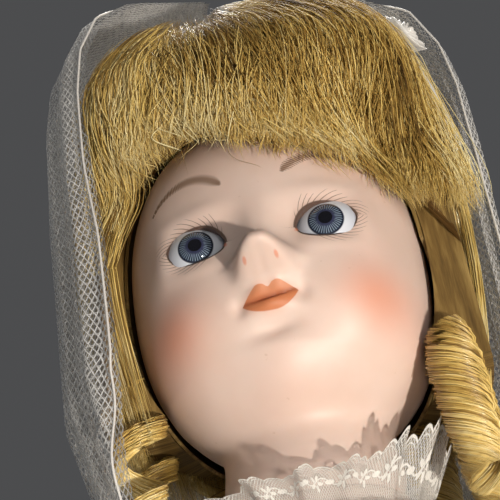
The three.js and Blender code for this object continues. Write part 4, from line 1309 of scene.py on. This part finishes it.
def cloth(name, rows, looped=True, close=0.0):
    """Rows of points, top edge first, in mm. Looped rows repeat their first point as the last."""
    rows = np.asarray(rows, dtype=float)
    if looped:
        rows = np.concatenate([rows, rows[:, :1]], axis=1)
    across = np.linalg.norm(np.diff(rows, axis=1), axis=2)
    u = np.concatenate([np.zeros((len(rows), 1)), np.cumsum(across, axis=1)], axis=1)
    u = u / u[:, -1:] * u[:, -1].max()
    down = np.linalg.norm(np.diff(rows, axis=0), axis=2).mean(axis=1)
    v = np.concatenate([[0], np.cumsum(down)])[:, None] * np.ones_like(u)
    uv = np.stack([u, v], axis=-1).reshape(-1, 2) * MM
    piece = weave(name, rows.reshape(-1, 3), grid_faces(*rows.shape[:2])[:, ::-1], uv)
    if looped:
        edit_all(piece, bpy.ops.mesh.remove_doubles, threshold=WELD)
    if close:
        finish_with(piece, "SOLIDIFY", thickness=close * MM, offset=-1)
    piece["drop"] = float(v.max()) * MM
    return piece


def cloth_area(piece):
    return sum(face.area for face in piece.data.polygons)


def declare_sheet(piece, layers=1):
    """The flat piece has the cloth's area, and its drop as length unless that is under SHORTEST_SIDE."""
    area = cloth_area(piece) / layers
    length = max(piece["drop"], SHORTEST_SIDE)
    del piece["drop"]
    width = area / length
    print(f"{piece.name}: declared {width / MM:.0f} x {length / MM:.0f} mm")


def ring_rows(levels, columns, folds, phase=0.0, sharp=0.0, seed=0):
    """levels: (z, half width, half depth, middle y, fold height), top first."""
    generator = np.random.default_rng(seed)
    a = np.linspace(0, 2 * np.pi, columns, endpoint=False)
    shift = generator.uniform(-0.35, 0.35, folds)
    size = generator.uniform(0.75, 1.25, folds)
    k = a / (2 * np.pi) * folds
    lean = np.interp(k, np.arange(folds + 1), np.append(shift, shift[0]))
    height = np.interp(k, np.arange(folds + 1), np.append(size, size[0]))
    wave = np.cos(a * folds + lean + phase)
    wave = (wave + sharp * np.cos(2 * (a * folds + lean + phase))) * height
    rows = []
    for z, rx, ry, y, fold in levels:
        x_part = (rx + fold * wave) * np.sin(a)
        y_part = y - (ry + fold * wave) * np.cos(a)
        rows.append(np.stack([x_part, y_part, np.full_like(a, z)], axis=1))
    return np.array(rows)


def between(levels, count):
    """More levels, evenly spaced along a smooth curve through the given ones."""
    levels = np.array(levels, dtype=float)
    t = np.arange(len(levels))
    fine = np.linspace(0, len(levels) - 1, count)
    k = np.clip(fine.astype(int), 0, len(levels) - 2)
    f = (fine - k)[:, None]
    padded = np.vstack([2 * levels[0] - levels[1], levels, 2 * levels[-1] - levels[-2]])
    p0, p1, p2, p3 = (padded[k + i] for i in range(4))
    curve = (p2 - p0) * f + (2 * p0 - 5 * p1 + 4 * p2 - p3) * f**2 + (3 * p1 - p0 - 3 * p2 + p3) * f**3
    return p1 + 0.5 * curve


print("weaving tools ready")

# %% [markdown]
# ## The veil
# The veil is a long piece of tulle gathered on the headband. It falls over the back and both sides of
# the wig, and on the doll's right it is drawn forward beside the face. It lies in two layers whose
# nets cross each other, with narrow soft folds, and its front edges carry a fine satin cord.

# %% Veil
VEIL_TOP, VEIL_HEM = 447.0, 212
VEIL_Z = (VEIL_HEM, 262, 296, 308, 335, 362, 386, 404, 417, 430, 440, VEIL_TOP)
VEIL_SIDE = (51, 50, 41.5, 41.5, 48.8, 49.4, 50.5, 50.5, 49, 44, 32, 8)
VEIL_DEPTH = (48, 47, 45, 45, 45, 45.4, 45.6, 45, 43, 37, 27, 8)
VEIL_FOLD = (2.0, 1.7, 1.0, 1.0, 1.15, 1.0, 0.9, 0.8, 0.6, 0.5, 0.3, 0.1)
EDGE_Z = (VEIL_HEM, 286, 293, 297, 300, 304, 338, 366, 382, 400, 430, 447)
RIGHT_EDGE = (128, 126, 112, 92, 70, 53, 42, 42, 44, 44, 44, 50)
LEFT_EDGE = (128, 126, 118, 108, 98, 90, 88, 87, 86, 84, 84, 90)


def veil_rows(inset, fold_phase, folds):
    heights = np.linspace(VEIL_TOP, VEIL_HEM, 120)
    rows = []
    for z in heights:
        side, depth, fold = (np.interp(z, VEIL_Z, line) for line in (VEIL_SIDE, VEIL_DEPTH, VEIL_FOLD))
        first = -np.interp(z, EDGE_Z, RIGHT_EDGE)
        last = -360 + np.interp(z, EDGE_Z, LEFT_EDGE)
        a = np.radians(np.linspace(first, last, 300))
        k = a * folds + 1.3 * np.sin(3 * a) + fold_phase
        wave = np.sin(k) + 0.4 * np.sin(2.3 * k + z * 0.012) + 0.25 * np.sin(z * 0.06 + 5 * a)
        out = fold * wave - inset
        row = [(side + out) * np.sin(a), 5 - (depth + out) * np.cos(a), np.full_like(a, z)]
        rows.append(np.stack(row, axis=1))
    return np.array(rows)


def tube_along(name, path, radius, sides=8):
    """A closed cord along a path in mm."""
    path = np.asarray(path, dtype=float)
    ahead = np.gradient(path, axis=0)
    ahead /= np.linalg.norm(ahead, axis=1, keepdims=True)
    helper = np.array([0.31, 0.87, 0.38])
    one = np.cross(ahead, helper)
    one /= np.linalg.norm(one, axis=1, keepdims=True)
    two = np.cross(ahead, one)
    a = np.linspace(0, 2 * np.pi, sides, endpoint=False)
    thick = np.full(len(path), radius)
    thick[0] = thick[-1] = radius * 0.05
    ring = np.cos(a)[None, :, None] * one[:, None] + np.sin(a)[None, :, None] * two[:, None]
    points = path[:, None] + thick[:, None, None] * ring
    quads = grid_faces(len(path), sides, looped=True)
    return weave(name, points.reshape(-1, 3), quads)


def edge_cord(name, rows, column):
    cord = tube_along(name, rows[6:, column], 0.26)
    wear(cord, satin)
    return cord


outer_rows, inner_rows = veil_rows(0.0, 0.0, 26), veil_rows(1.5, 1.9, 19)
veil_outer = cloth("veil_tulle_outer", outer_rows, looped=False)
veil_inner = cloth("veil_tulle_inner", inner_rows, looped=False)
cords = [edge_cord("veil_edge_right", outer_rows, 0), edge_cord("veil_edge_left", outer_rows, -1)]
for layer in (veil_outer, veil_inner):
    wear(layer, tulle)
declare_sheet(veil_outer)
declare_sheet(veil_inner)
for piece in (veil_outer, veil_inner, *cords):
    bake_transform(piece)
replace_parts(veil_outer, "veil")

# %% [markdown]
# ## Collar and ruffles
# A gathered lace ruffle stands at the neck, and a wider lace collar lies on the shoulders under it.
# Light from below comes through the lace and throws its pattern up on the neck.

# %% Neck ruffle and collar


def ruffle(name, levels, columns, folds, depth, steps=16, seed=1, dip=0.0, rise=0.0, **lace):
    """A ring of gathered lace. dip lowers its free edge in front, rise lifts it at the doll's left."""
    rows = ring_rows(between(levels, steps), columns, folds, seed=seed, sharp=0.22)
    t = np.linspace(0, 1, steps)[:, None]
    front = np.clip(-(rows[..., 1] - 3) / 25, 0, 1) ** 2
    left = np.clip(rows[..., 0] / 30, 0, 1) ** 2
    rows[..., 2] += t**1.5 * (rise * left - dip * front)
    k = np.linspace(0, 2 * np.pi, columns, endpoint=False)[None, :]
    rows[..., 2] += t**2 * 0.7 * np.sin(k * folds * 0.5 + 1.0)
    piece = cloth(name, rows)
    wear(piece, lace_material(name + "_lace", depth, **lace))
    return piece


neck_levels = [(303.0, 20.4, 19.8, 3, 0.3), (306, 22.0, 21.4, 3, 1.0), (309.5, 25, 24, 3, 1.9)]
neck_levels += [(311.5, 29, 27.5, 3, 2.6)]
neck_ruffle = ruffle("neck_ruffle_lace", neck_levels, 480, 17, 12.5, dip=2.5, rise=13.0, cover=0.22)
declare_sheet(neck_ruffle)
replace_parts(neck_ruffle, "neck_ruffle")
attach(neck_ruffle, "torso")

collar_levels = [(303.6, 22.6, 20.8, 2, 0.2), (300, 29, 23.6, 2, 0.6), (295.4, 36.4, 27.0, 2, 1.2)]
collar_levels += [(290.4, 41.4, 29.6, 2, 1.7)]
collar = ruffle("shoulder_collar_lace", collar_levels, 420, 22, 20.0, seed=3, motif=9.5, cover=0.22)
declare_sheet(collar)
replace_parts(collar, "lace_collar")
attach(collar, "torso")

# %% [markdown]
# ## Headband and rosettes
# The band that carries the veil is a wire wrapped in satin ribbon. Three ribbon rosettes sit on it.
# A rosette is one ribbon gathered along an edge and rolled up, so it is a spiral whose loose edge
# opens like petals.

# %% Headband
BAND_LIFT = 2.0


def band_point(angle, lift):
    across, up = math.cos(angle), math.sin(angle)
    share = (abs(across) / (HAIR["side"] + BAND_LIFT)) ** SQUARE
    share += (up / (HAIR["up"] + BAND_LIFT)) ** SQUARE
    out = share ** (-1 / SQUARE) + lift
    return np.array([out * across, 0.0, 360 + out * up])


band_path = [band_point(a, 0) for a in np.linspace(0.5, math.pi - 0.5, 90)]
band = tube_along("headband_satin", band_path, 1.5, 12)
wear(band, satin)
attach(band, "head")
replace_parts(band, "headband")


def rosette(name, angle, size):
    """A gathered ribbon rolled up, its petals opening outwards from the head."""
    steps, rows = 520, 7
    t = np.linspace(0, 1, steps)
    turn = t * 5.2 * 2 * np.pi
    flare = np.linspace(0, 1, rows)[:, None]
    petals = 1 + 0.16 * np.sin(turn * 2.3 + 0.6 * np.sin(turn)) * flare
    radius = (0.5 + size * 0.62 * t[None, :]) * (1 + 0.42 * flare * (0.4 + t)) * petals
    height = flare * (size * (0.66 - 0.30 * t)) + 0.35 * np.sin(turn * 2.9) * flare
    local = np.stack([radius * np.cos(turn), radius * np.sin(turn), height + 0 * radius], axis=-1)
    out = band_point(angle, 1.2) - np.array([0, 0, 360])
    normal = np.array([out[0] / HAIR["side"] ** 2, 0, out[2] / HAIR["up"] ** 2])
    normal /= np.linalg.norm(normal)
    normal = normal * 0.9 + np.array([0, -0.43, 0])
    normal /= np.linalg.norm(normal)
    side = np.cross(normal, [0, 1, 0])
    side /= np.linalg.norm(side)
    up = np.cross(normal, side)
    base = band_point(angle, 1.3) + np.array([0, -3.0, 0])
    rows_3d = base + local @ np.stack([side, up, normal])
    ribbon = cloth(name, rows_3d, looped=False, close=0.28)
    wear(ribbon, satin)
    return ribbon


for label, angle in (("left", 0.98), ("middle", math.pi / 2), ("right", math.pi - 0.98)):
    flower = rosette(f"rosette_{label}_ribbon", angle, 6.6)
    declare_sheet(flower, layers=2)
    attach(flower, "head")
    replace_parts(flower, f"rosette_{label}")

# %% [markdown]
# ## The gown
# The bodice is satin cut close to the stuffed body. The skirt is a wide band of satin gathered into
# the waist, held out by a cotton petticoat. Two lace flounces go round it, one on the skirt and one
# under its hem. A gathered skirt has narrow folds at the waist that spread and soften downwards.

# %% Skirt, petticoat and flounces
MIDDLE_Y = 1.0


def skirt_profile(z, inset=0.0):
    """Half width and half depth of the skirt at a height."""
    heights = (46, 104, 160, 200, 218, 226)
    side = np.interp(z, heights, (107, 94, 71, 51, 36, 27.6))
    depth = np.interp(z, heights, (105, 91, 67, 46, 29.5, 20.4))
    return side - inset, depth - inset


def skirt_levels(top, bottom, fold, count=9, inset=0.0, flare=0.0):
    levels = []
    for k in range(count):
        share = k / (count - 1)
        z = top + (bottom - top) * share
        side, depth = skirt_profile(z, inset)
        out = flare * share**1.3
        levels.append((z, side + out, depth + out, MIDDLE_Y, fold[0] + (fold[1] - fold[0]) * share))
    return levels


skirt_rows = ring_rows(between(skirt_levels(226, 46, (0.5, 5.2), 10), 70), 560, 24, seed=5, sharp=0.18)
skirt = cloth("gown_skirt_satin", skirt_rows, close=0.35)
wear(skirt, satin)
declare_sheet(skirt, layers=2)
petticoat_rows = ring_rows(between(skirt_levels(219, 52, (0.3, 3.0), 9, inset=7.4), 44), 320, 20, seed=6)
petticoat = cloth("petticoat_cotton", petticoat_rows, close=0.35)
wear(petticoat, white_cotton)
declare_sheet(petticoat, layers=2)

flounces = []
for name, top, bottom, depth, flare, fold, seed in (
    ("skirt_flounce_lace", 112.0, 76.0, 39.0, 5.0, 3.2, 8),
    ("hem_flounce_lace", 66.0, 39.5, 28.0, 3.6, 3.0, 9),
):
    rows = ring_rows(
        between(skirt_levels(top, bottom, (1.2, fold), 5, inset=-5.2, flare=flare - 3.0), 16),
        720, 44, seed=seed, sharp=0.2,
    )
    flounce = cloth(name, rows)
    wear(flounce, lace_material(name, depth, motif=11.0, flower=3.2, cover=0.0, scallop=6.0))
    declare_sheet(flounce)
    flounces.append(flounce)
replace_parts(skirt, "skirt")
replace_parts(petticoat, "petticoat")
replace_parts(flounces[1], "hem_lace")
for piece, finish in ((skirt, "satin"), (petticoat, "cotton"), (flounces[0], "lace"), (flounces[1], "lace")):
    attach(piece, "torso")

# %% [markdown]
# The bodice closes round the body up to the collar. A few slack wrinkles run round the waist. The
# sash is a folded ribbon over the seam, and its bow is tied at the back.

# %% Bodice, sash and bow
bodice_levels = [(297.6, 29.6, 22.2, 2, 0.1), (287.5, 39.6, 25.2, 1, 0.15), (280, 40.8, 25.9, 1, 0.2)]
bodice_levels += [(266, 40.4, 26.5, 1, 0.25), (259, 36.6, 24.6, 1, 0.3), (248, 30.6, 21.6, 1, 0.35)]
bodice_levels += [(236, 27.4, 19.8, 1, 0.3), (228.5, 27.2, 19.8, 1, 0.2)]
bodice_rows = ring_rows(between(bodice_levels, 46), 220, 16, seed=11)
bodice_rows[..., 1] += 0.22 * np.sin(bodice_rows[..., 2] * 0.9 + bodice_rows[..., 0] * 0.12)
bodice = cloth("bodice_satin", bodice_rows, close=0.4)
wear(bodice, satin)
declare_sheet(bodice, layers=2)
panel_rows = bodice_rows[4:40, np.r_[190:220, 0:31]].copy()
panel_rows[..., 1] -= 0.7
panel = cloth("bodice_lace_panel", panel_rows, looped=False)
wear(panel, lace_material("bodice_lace", 80.0, motif=8.0, flower=2.2, scallop=4.0))
declare_sheet(panel)

sash_z = np.linspace(237.4, 226.2, 26)
pleat = 0.42 * np.abs(np.sin(np.linspace(0, 4 * np.pi, 26)))
sash_levels = [(z, 28.9 + p, 21.6 + p, MIDDLE_Y, 0.12) for z, p in zip(sash_z, pleat)]
sash = cloth("waist_sash_satin", ring_rows(sash_levels, 180, 9, seed=12), close=0.4)
wear(sash, satin)
declare_sheet(sash, layers=2)


def ribbon(name, path, widths, normal, close=0.3):
    """A ribbon whose middle follows a path; normal is the direction across its width."""
    path, widths = np.asarray(path, dtype=float), np.asarray(widths)
    normal = np.asarray(normal, dtype=float)
    share = np.linspace(-0.5, 0.5, 13)
    rows = path[None] + share[:, None, None] * widths[None, :, None] * normal
    rows[..., 1] += 0.5 * np.cos(share * 5 * np.pi)[:, None] * (1 - np.linspace(0, 1, len(path)) * 0.3)
    piece = cloth(name, rows, looped=False, close=close)
    wear(piece, satin)
    declare_sheet(piece, layers=2)
    return piece


bow = []
BOW = np.array([0.0, 25.8, 233.0])
for label, side in (("left", 1), ("right", -1)):
    turn = np.linspace(0, 2 * np.pi, 60)
    reach = 9.6 * (1 - np.cos(turn))
    loop = [side * (0.8 + reach), 1.6 + 3.0 * np.sin(turn), 2.5 * np.sin(turn / 2) ** 2]
    wide = 4.2 + 8.0 * np.sin(turn / 2) ** 1.5
    bow.append(ribbon(f"bow_loop_{label}", BOW + np.stack(loop, axis=1), wide, (0, 0, 1)))
    drop = np.linspace(0, 1, 50)
    tail = [side * (1.5 + 9 * drop), 0.8 + 9.5 * drop**1.4 + 0.6 * np.sin(drop * 7), -1 - 14 * drop]
    tail_wide = 4.5 + 7.0 * drop
    bow.append(ribbon(f"bow_tail_{label}", BOW + np.stack(tail, axis=1), tail_wide, (1, 0, 0)))
knot_levels = [(237.2, 1.4, 1.0), (236, 3.0, 2.6), (233, 3.7, 3.1), (230, 3.0, 2.6), (228.8, 1.4, 1.0)]
knot_rows = ring_rows([(z, a, b, 27.6, 0.25) for z, a, b in between(knot_levels, 16)], 48, 7, seed=3)
knot = cloth("bow_knot", knot_rows, close=0.3)
wear(knot, satin)
declare_sheet(knot, layers=2)
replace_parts(bodice, "bodice")
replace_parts(sash, "waist_sash")
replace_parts(knot, "sash_bow")
for piece in (bodice, panel, sash, knot, *bow):
    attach(piece, "torso")

# %% [markdown]
# ## Sleeves
# A puffed sleeve is a tube much wider than the arm, gathered into the armhole and into a ribbon above
# the elbow, with a lace ruffle below. It is woven straight and then leant out with the arm.

# %% Sleeves
SHOULDER = np.array([50.5, 2.0, 284.0])
SPLAY = math.radians(17)
ARMHOLE_X = 43.3  # the sleeve is held off the bodice here


def at_shoulder(rows, side):
    """From hanging straight under the shoulder to leaning out with the arm."""
    rows = np.asarray(rows, dtype=float)
    x, y, z = np.moveaxis(rows, -1, 0)
    lean = -side * SPLAY
    out = x * math.cos(lean) + z * math.sin(lean)
    height = z * math.cos(lean) - x * math.sin(lean)
    turned = np.stack([out, y, height], -1)
    placed = turned + SHOULDER * np.array([side, 1, 1])
    placed[..., 0] = side * np.maximum(side * placed[..., 0], ARMHOLE_X)
    return placed


def sleeve_cloth(name, levels, steps, columns, folds, side, close=0.0, **look):
    rows = ring_rows(between(levels, steps), columns, folds, **look)
    return cloth(name, at_shoulder(rows, side), close=close)


PUFF = [(11.5, 6, 6, 0, 0.2), (8.5, 10.4, 10.4, 0, 0.6), (4, 13.2, 13.2, 0, 0.9)]
PUFF += [(-8, 16.6, 16.6, 0, 1.1), (-20, 17.2, 17.2, 0, 1.2), (-30, 16, 16, 0, 1.2)]
PUFF += [(-38, 12.8, 12.8, 0, 0.9), (-43.5, 9.7, 9.7, 0, 0.4)]
BAND = [(-42.4, 10.2, 10.2, 0, 0), (-43.4, 10.7, 10.7, 0, 0)]
BAND += [(-45, 10.5, 10.5, 0, 0), (-46, 10.1, 10.1, 0, 0)]
FRILL = [(-45.6, 9.9, 9.9, 0, 0.2), (-49, 11.6, 11.6, 0, 0.8), (-53, 13.6, 13.6, 0, 1.5)]
FRILL += [(-57, 15.2, 15.2, 0, 2.1)]
frill_lace = lace_material("sleeve_lace", 12.6, motif=7.5, flower=2.0, scallop=4.4)
for label, side in (("left", 1), ("right", -1)):
    arm = f"upper_arm_{label}"
    puff = sleeve_cloth(f"sleeve_puff_{label}_satin", PUFF, 34, 200, 18, side, close=0.3, seed=21)
    wear(puff, satin)
    declare_sheet(puff, layers=2)
    ring = sleeve_cloth(f"sleeve_ribbon_{label}", BAND, 12, 96, 8, side, close=0.5, seed=2)
    wear(ring, satin)
    declare_sheet(ring, layers=2)
    frill = sleeve_cloth(f"sleeve_frill_{label}", FRILL, 14, 260, 14, side, seed=22, sharp=0.2)
    wear(frill, frill_lace)
    declare_sheet(frill)
    for piece, node, finish in ((puff, "puff", "satin"), (ring, "band", "satin"), (frill, "ruffle", "lace")):
        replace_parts(piece, f"sleeve_{node}_{label}")
        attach(piece, arm)

# %% [markdown]
# ## Stuffed body, porcelain limbs, underwear and shoes
# The stuffed pieces and the porcelain hands and legs already have their true shape in the CAD model,
# but faceted. Each is copied, its surface rebuilt as small even cells and relaxed, as sanding the
# greenware does to a casting. The stuffed ones get shallow dents, under a fifth of a millimetre deep.

# %% Sanding and stuffing


def rebuilt(node, name, cell, passes, material, body):
    """A smooth copy of a CAD node that stands for it."""
    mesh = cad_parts[node].data.copy()
    piece = bpy.data.objects.new(name, mesh)
    bpy.context.scene.collection.objects.link(piece)
    edit_all(piece, bpy.ops.mesh.remove_doubles, threshold=WELD)
    finish_with(piece, "REMESH", mode="VOXEL", voxel_size=cell * MM)
    finish_with(piece, "SMOOTH", factor=0.5, iterations=passes)
    smooth(piece)
    wear(piece, material)
    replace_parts(piece, node)
    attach(piece, body)
    return piece


def stuffed(node, name, cell, material, body):
    piece = rebuilt(node, name, cell, 6, material, body)
    p = coordinates(piece)
    normals = np.empty(len(p) * 3)
    piece.data.vertices.foreach_get("normal", normals)
    dent = np.sin(p[:, 0] * 0.55) * np.sin(p[:, 2] * 0.42 + p[:, 1] * 0.3)
    move_points(piece, p + normals.reshape(-1, 3) * (0.18 * dent)[:, None])
    return piece


LEG_X = 19.5
DRAWERS = [(168, 15.4, 16), (140, 15.6, 16.2), (104, 14.8, 15.2), (95, 13.0, 13.2)]
DRAWERS += [(92, 12.6, 12.8), (88, 13.8, 14.2), (84, 15.6, 16)]
STOCKING = [(80, 10.9, 11.3, 1.9), (70, 10.9, 11.3, 2.4), (54, 10.5, 11.1, 2.6)]
STOCKING += [(34, 7.9, 8.3, 2.6), (24, 7.1, 7.5, 3.0)]

plain_bisque = bisque_material("plain_bisque", painted=False)
shoe_leather = Paint("shoe_leather", Roughness=0.3, Coat_Weight=0.25, Coat_Roughness=0.2)
leather_place = shoe_leather.place()
leather_grain = shoe_leather.node("ShaderNodeTexVoronoi", {}, {"Vector": leather_place, "Scale": 900.0})
leather_tone = shoe_leather.noise(leather_place, 90.0)
leather_tint = shoe_leather.mix(leather_tone, (0.62, 0.60, 0.56), (0.80, 0.78, 0.74))
leather_bump = shoe_leather.bump(leather_grain, 0.0001, 0.4)
shoe_leather.feed(Base_Color=leather_tint, Roughness=leather_tone * 0.2 + 0.24, Normal=leather_bump)

stuffed("torso_body", "stuffed_torso", 1.2, cotton, "torso")
rebuilt("shoulder_plate", "bisque_shoulder_plate", 0.8, 8, plain_bisque, "torso")
for label, side in (("left", 1), ("right", -1)):
    stuffed(f"upper_arm_{label}", f"stuffed_arm_{label}", 0.9, cotton, f"upper_arm_{label}")
    forearm = f"forearm_{label}"
    rebuilt(forearm, f"bisque_{forearm}", 0.45, 7, plain_bisque, forearm)
    leg = f"leg_{label}"
    stuffed(f"upper_leg_{label}", f"stuffed_leg_{label}", 1.0, cotton, leg)
    rebuilt(f"lower_leg_{label}", f"bisque_leg_{label}", 0.7, 8, plain_bisque, leg)
    rebuilt(f"shoe_{label}", f"leather_shoe_{label}", 0.35, 4, shoe_leather.material, leg)
    rows = ring_rows([(z, a, b, 1, 0.5) for z, a, b in between(DRAWERS, 40)], 120, 12, seed=31)
    rows[..., 0] += side * LEG_X
    drawers = cloth(f"drawers_{label}_cotton", rows, close=0.35)
    wear(drawers, white_cotton)
    declare_sheet(drawers, layers=2)
    rows = ring_rows([(z, a, b, y, 0.12) for z, a, b, y in between(STOCKING, 40)], 96, 24, seed=32)
    rows[..., 0] += side * LEG_X
    sock = cloth(f"stocking_{label}_cotton", rows, close=0.25)
    wear(sock, white_cotton)
    declare_sheet(sock, layers=2)
    for piece, node in ((drawers, f"drawers_leg_{label}"), (sock, f"stocking_{label}")):
        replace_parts(piece, node)
        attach(piece, leg)

# %% [markdown]
# ## Hidden hardware
# Inside the neck a steel bolt, washer, spring and nut and a wooden button hold the head, wires stiffen
# the arms, putty holds the eyes and a card pate closes the crown. They keep their CAD shape and get
# the finish of the real thing.

# %% Steel, wood, card, plaster and shoe soles


def plain_finish(name, light, dark, scale, stretch=(1, 1, 1), bump=0.0001, metal=0.0, shine=0.5):
    paint = Paint(name, Metallic=metal, Roughness=shine)
    grown = paint.node("ShaderNodeMapping", {}, {"Vector": paint.place(), "Scale": stretch})
    grain = paint.noise(grown, scale, 5.0, 0.6)
    colour = paint.mix(grain.ramp(0.3, 0.7), dark, light)
    rough = shine - 0.08 + grain * 0.16
    return paint.feed(Base_Color=colour, Roughness=rough, Normal=paint.bump(grain, bump, 0.4))


ZINC = ((0.62, 0.63, 0.64), (0.40, 0.41, 0.43))
steel = plain_finish("zinc_steel", *ZINC, 900, (1, 1, 0.2), metal=0.95, shine=0.34)
wood = plain_finish("beech", (0.62, 0.42, 0.23), (0.42, 0.25, 0.12), 260, (1, 1, 0.12), shine=0.6)
card = plain_finish("pressed_card", (0.50, 0.40, 0.27), (0.36, 0.27, 0.17), 700, shine=0.85)
plaster = plain_finish("eye_plaster", (0.78, 0.76, 0.71), (0.62, 0.60, 0.55), 500, shine=0.85)
sole_leather = plain_finish("sole_leather", (0.40, 0.27, 0.16), (0.26, 0.165, 0.09), 600, shine=0.6)
hidden = {
    steel: ["neck_bolt", "neck_washer", "neck_spring", "neck_nut", "arm_wire_left", "arm_wire_right"],
    wood: ["neck_button"],
    card: ["crown_pate"],
    plaster: ["eye_putty_left", "eye_putty_right"],
    sole_leather: ["shoe_sole_left", "shoe_sole_right"],
}
for material, names in hidden.items():
    for name in names:
        wear(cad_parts[name], material)
shown = [name for name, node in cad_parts.items() if not node.hide_render]
print("CAD nodes still shown:", sorted(shown))
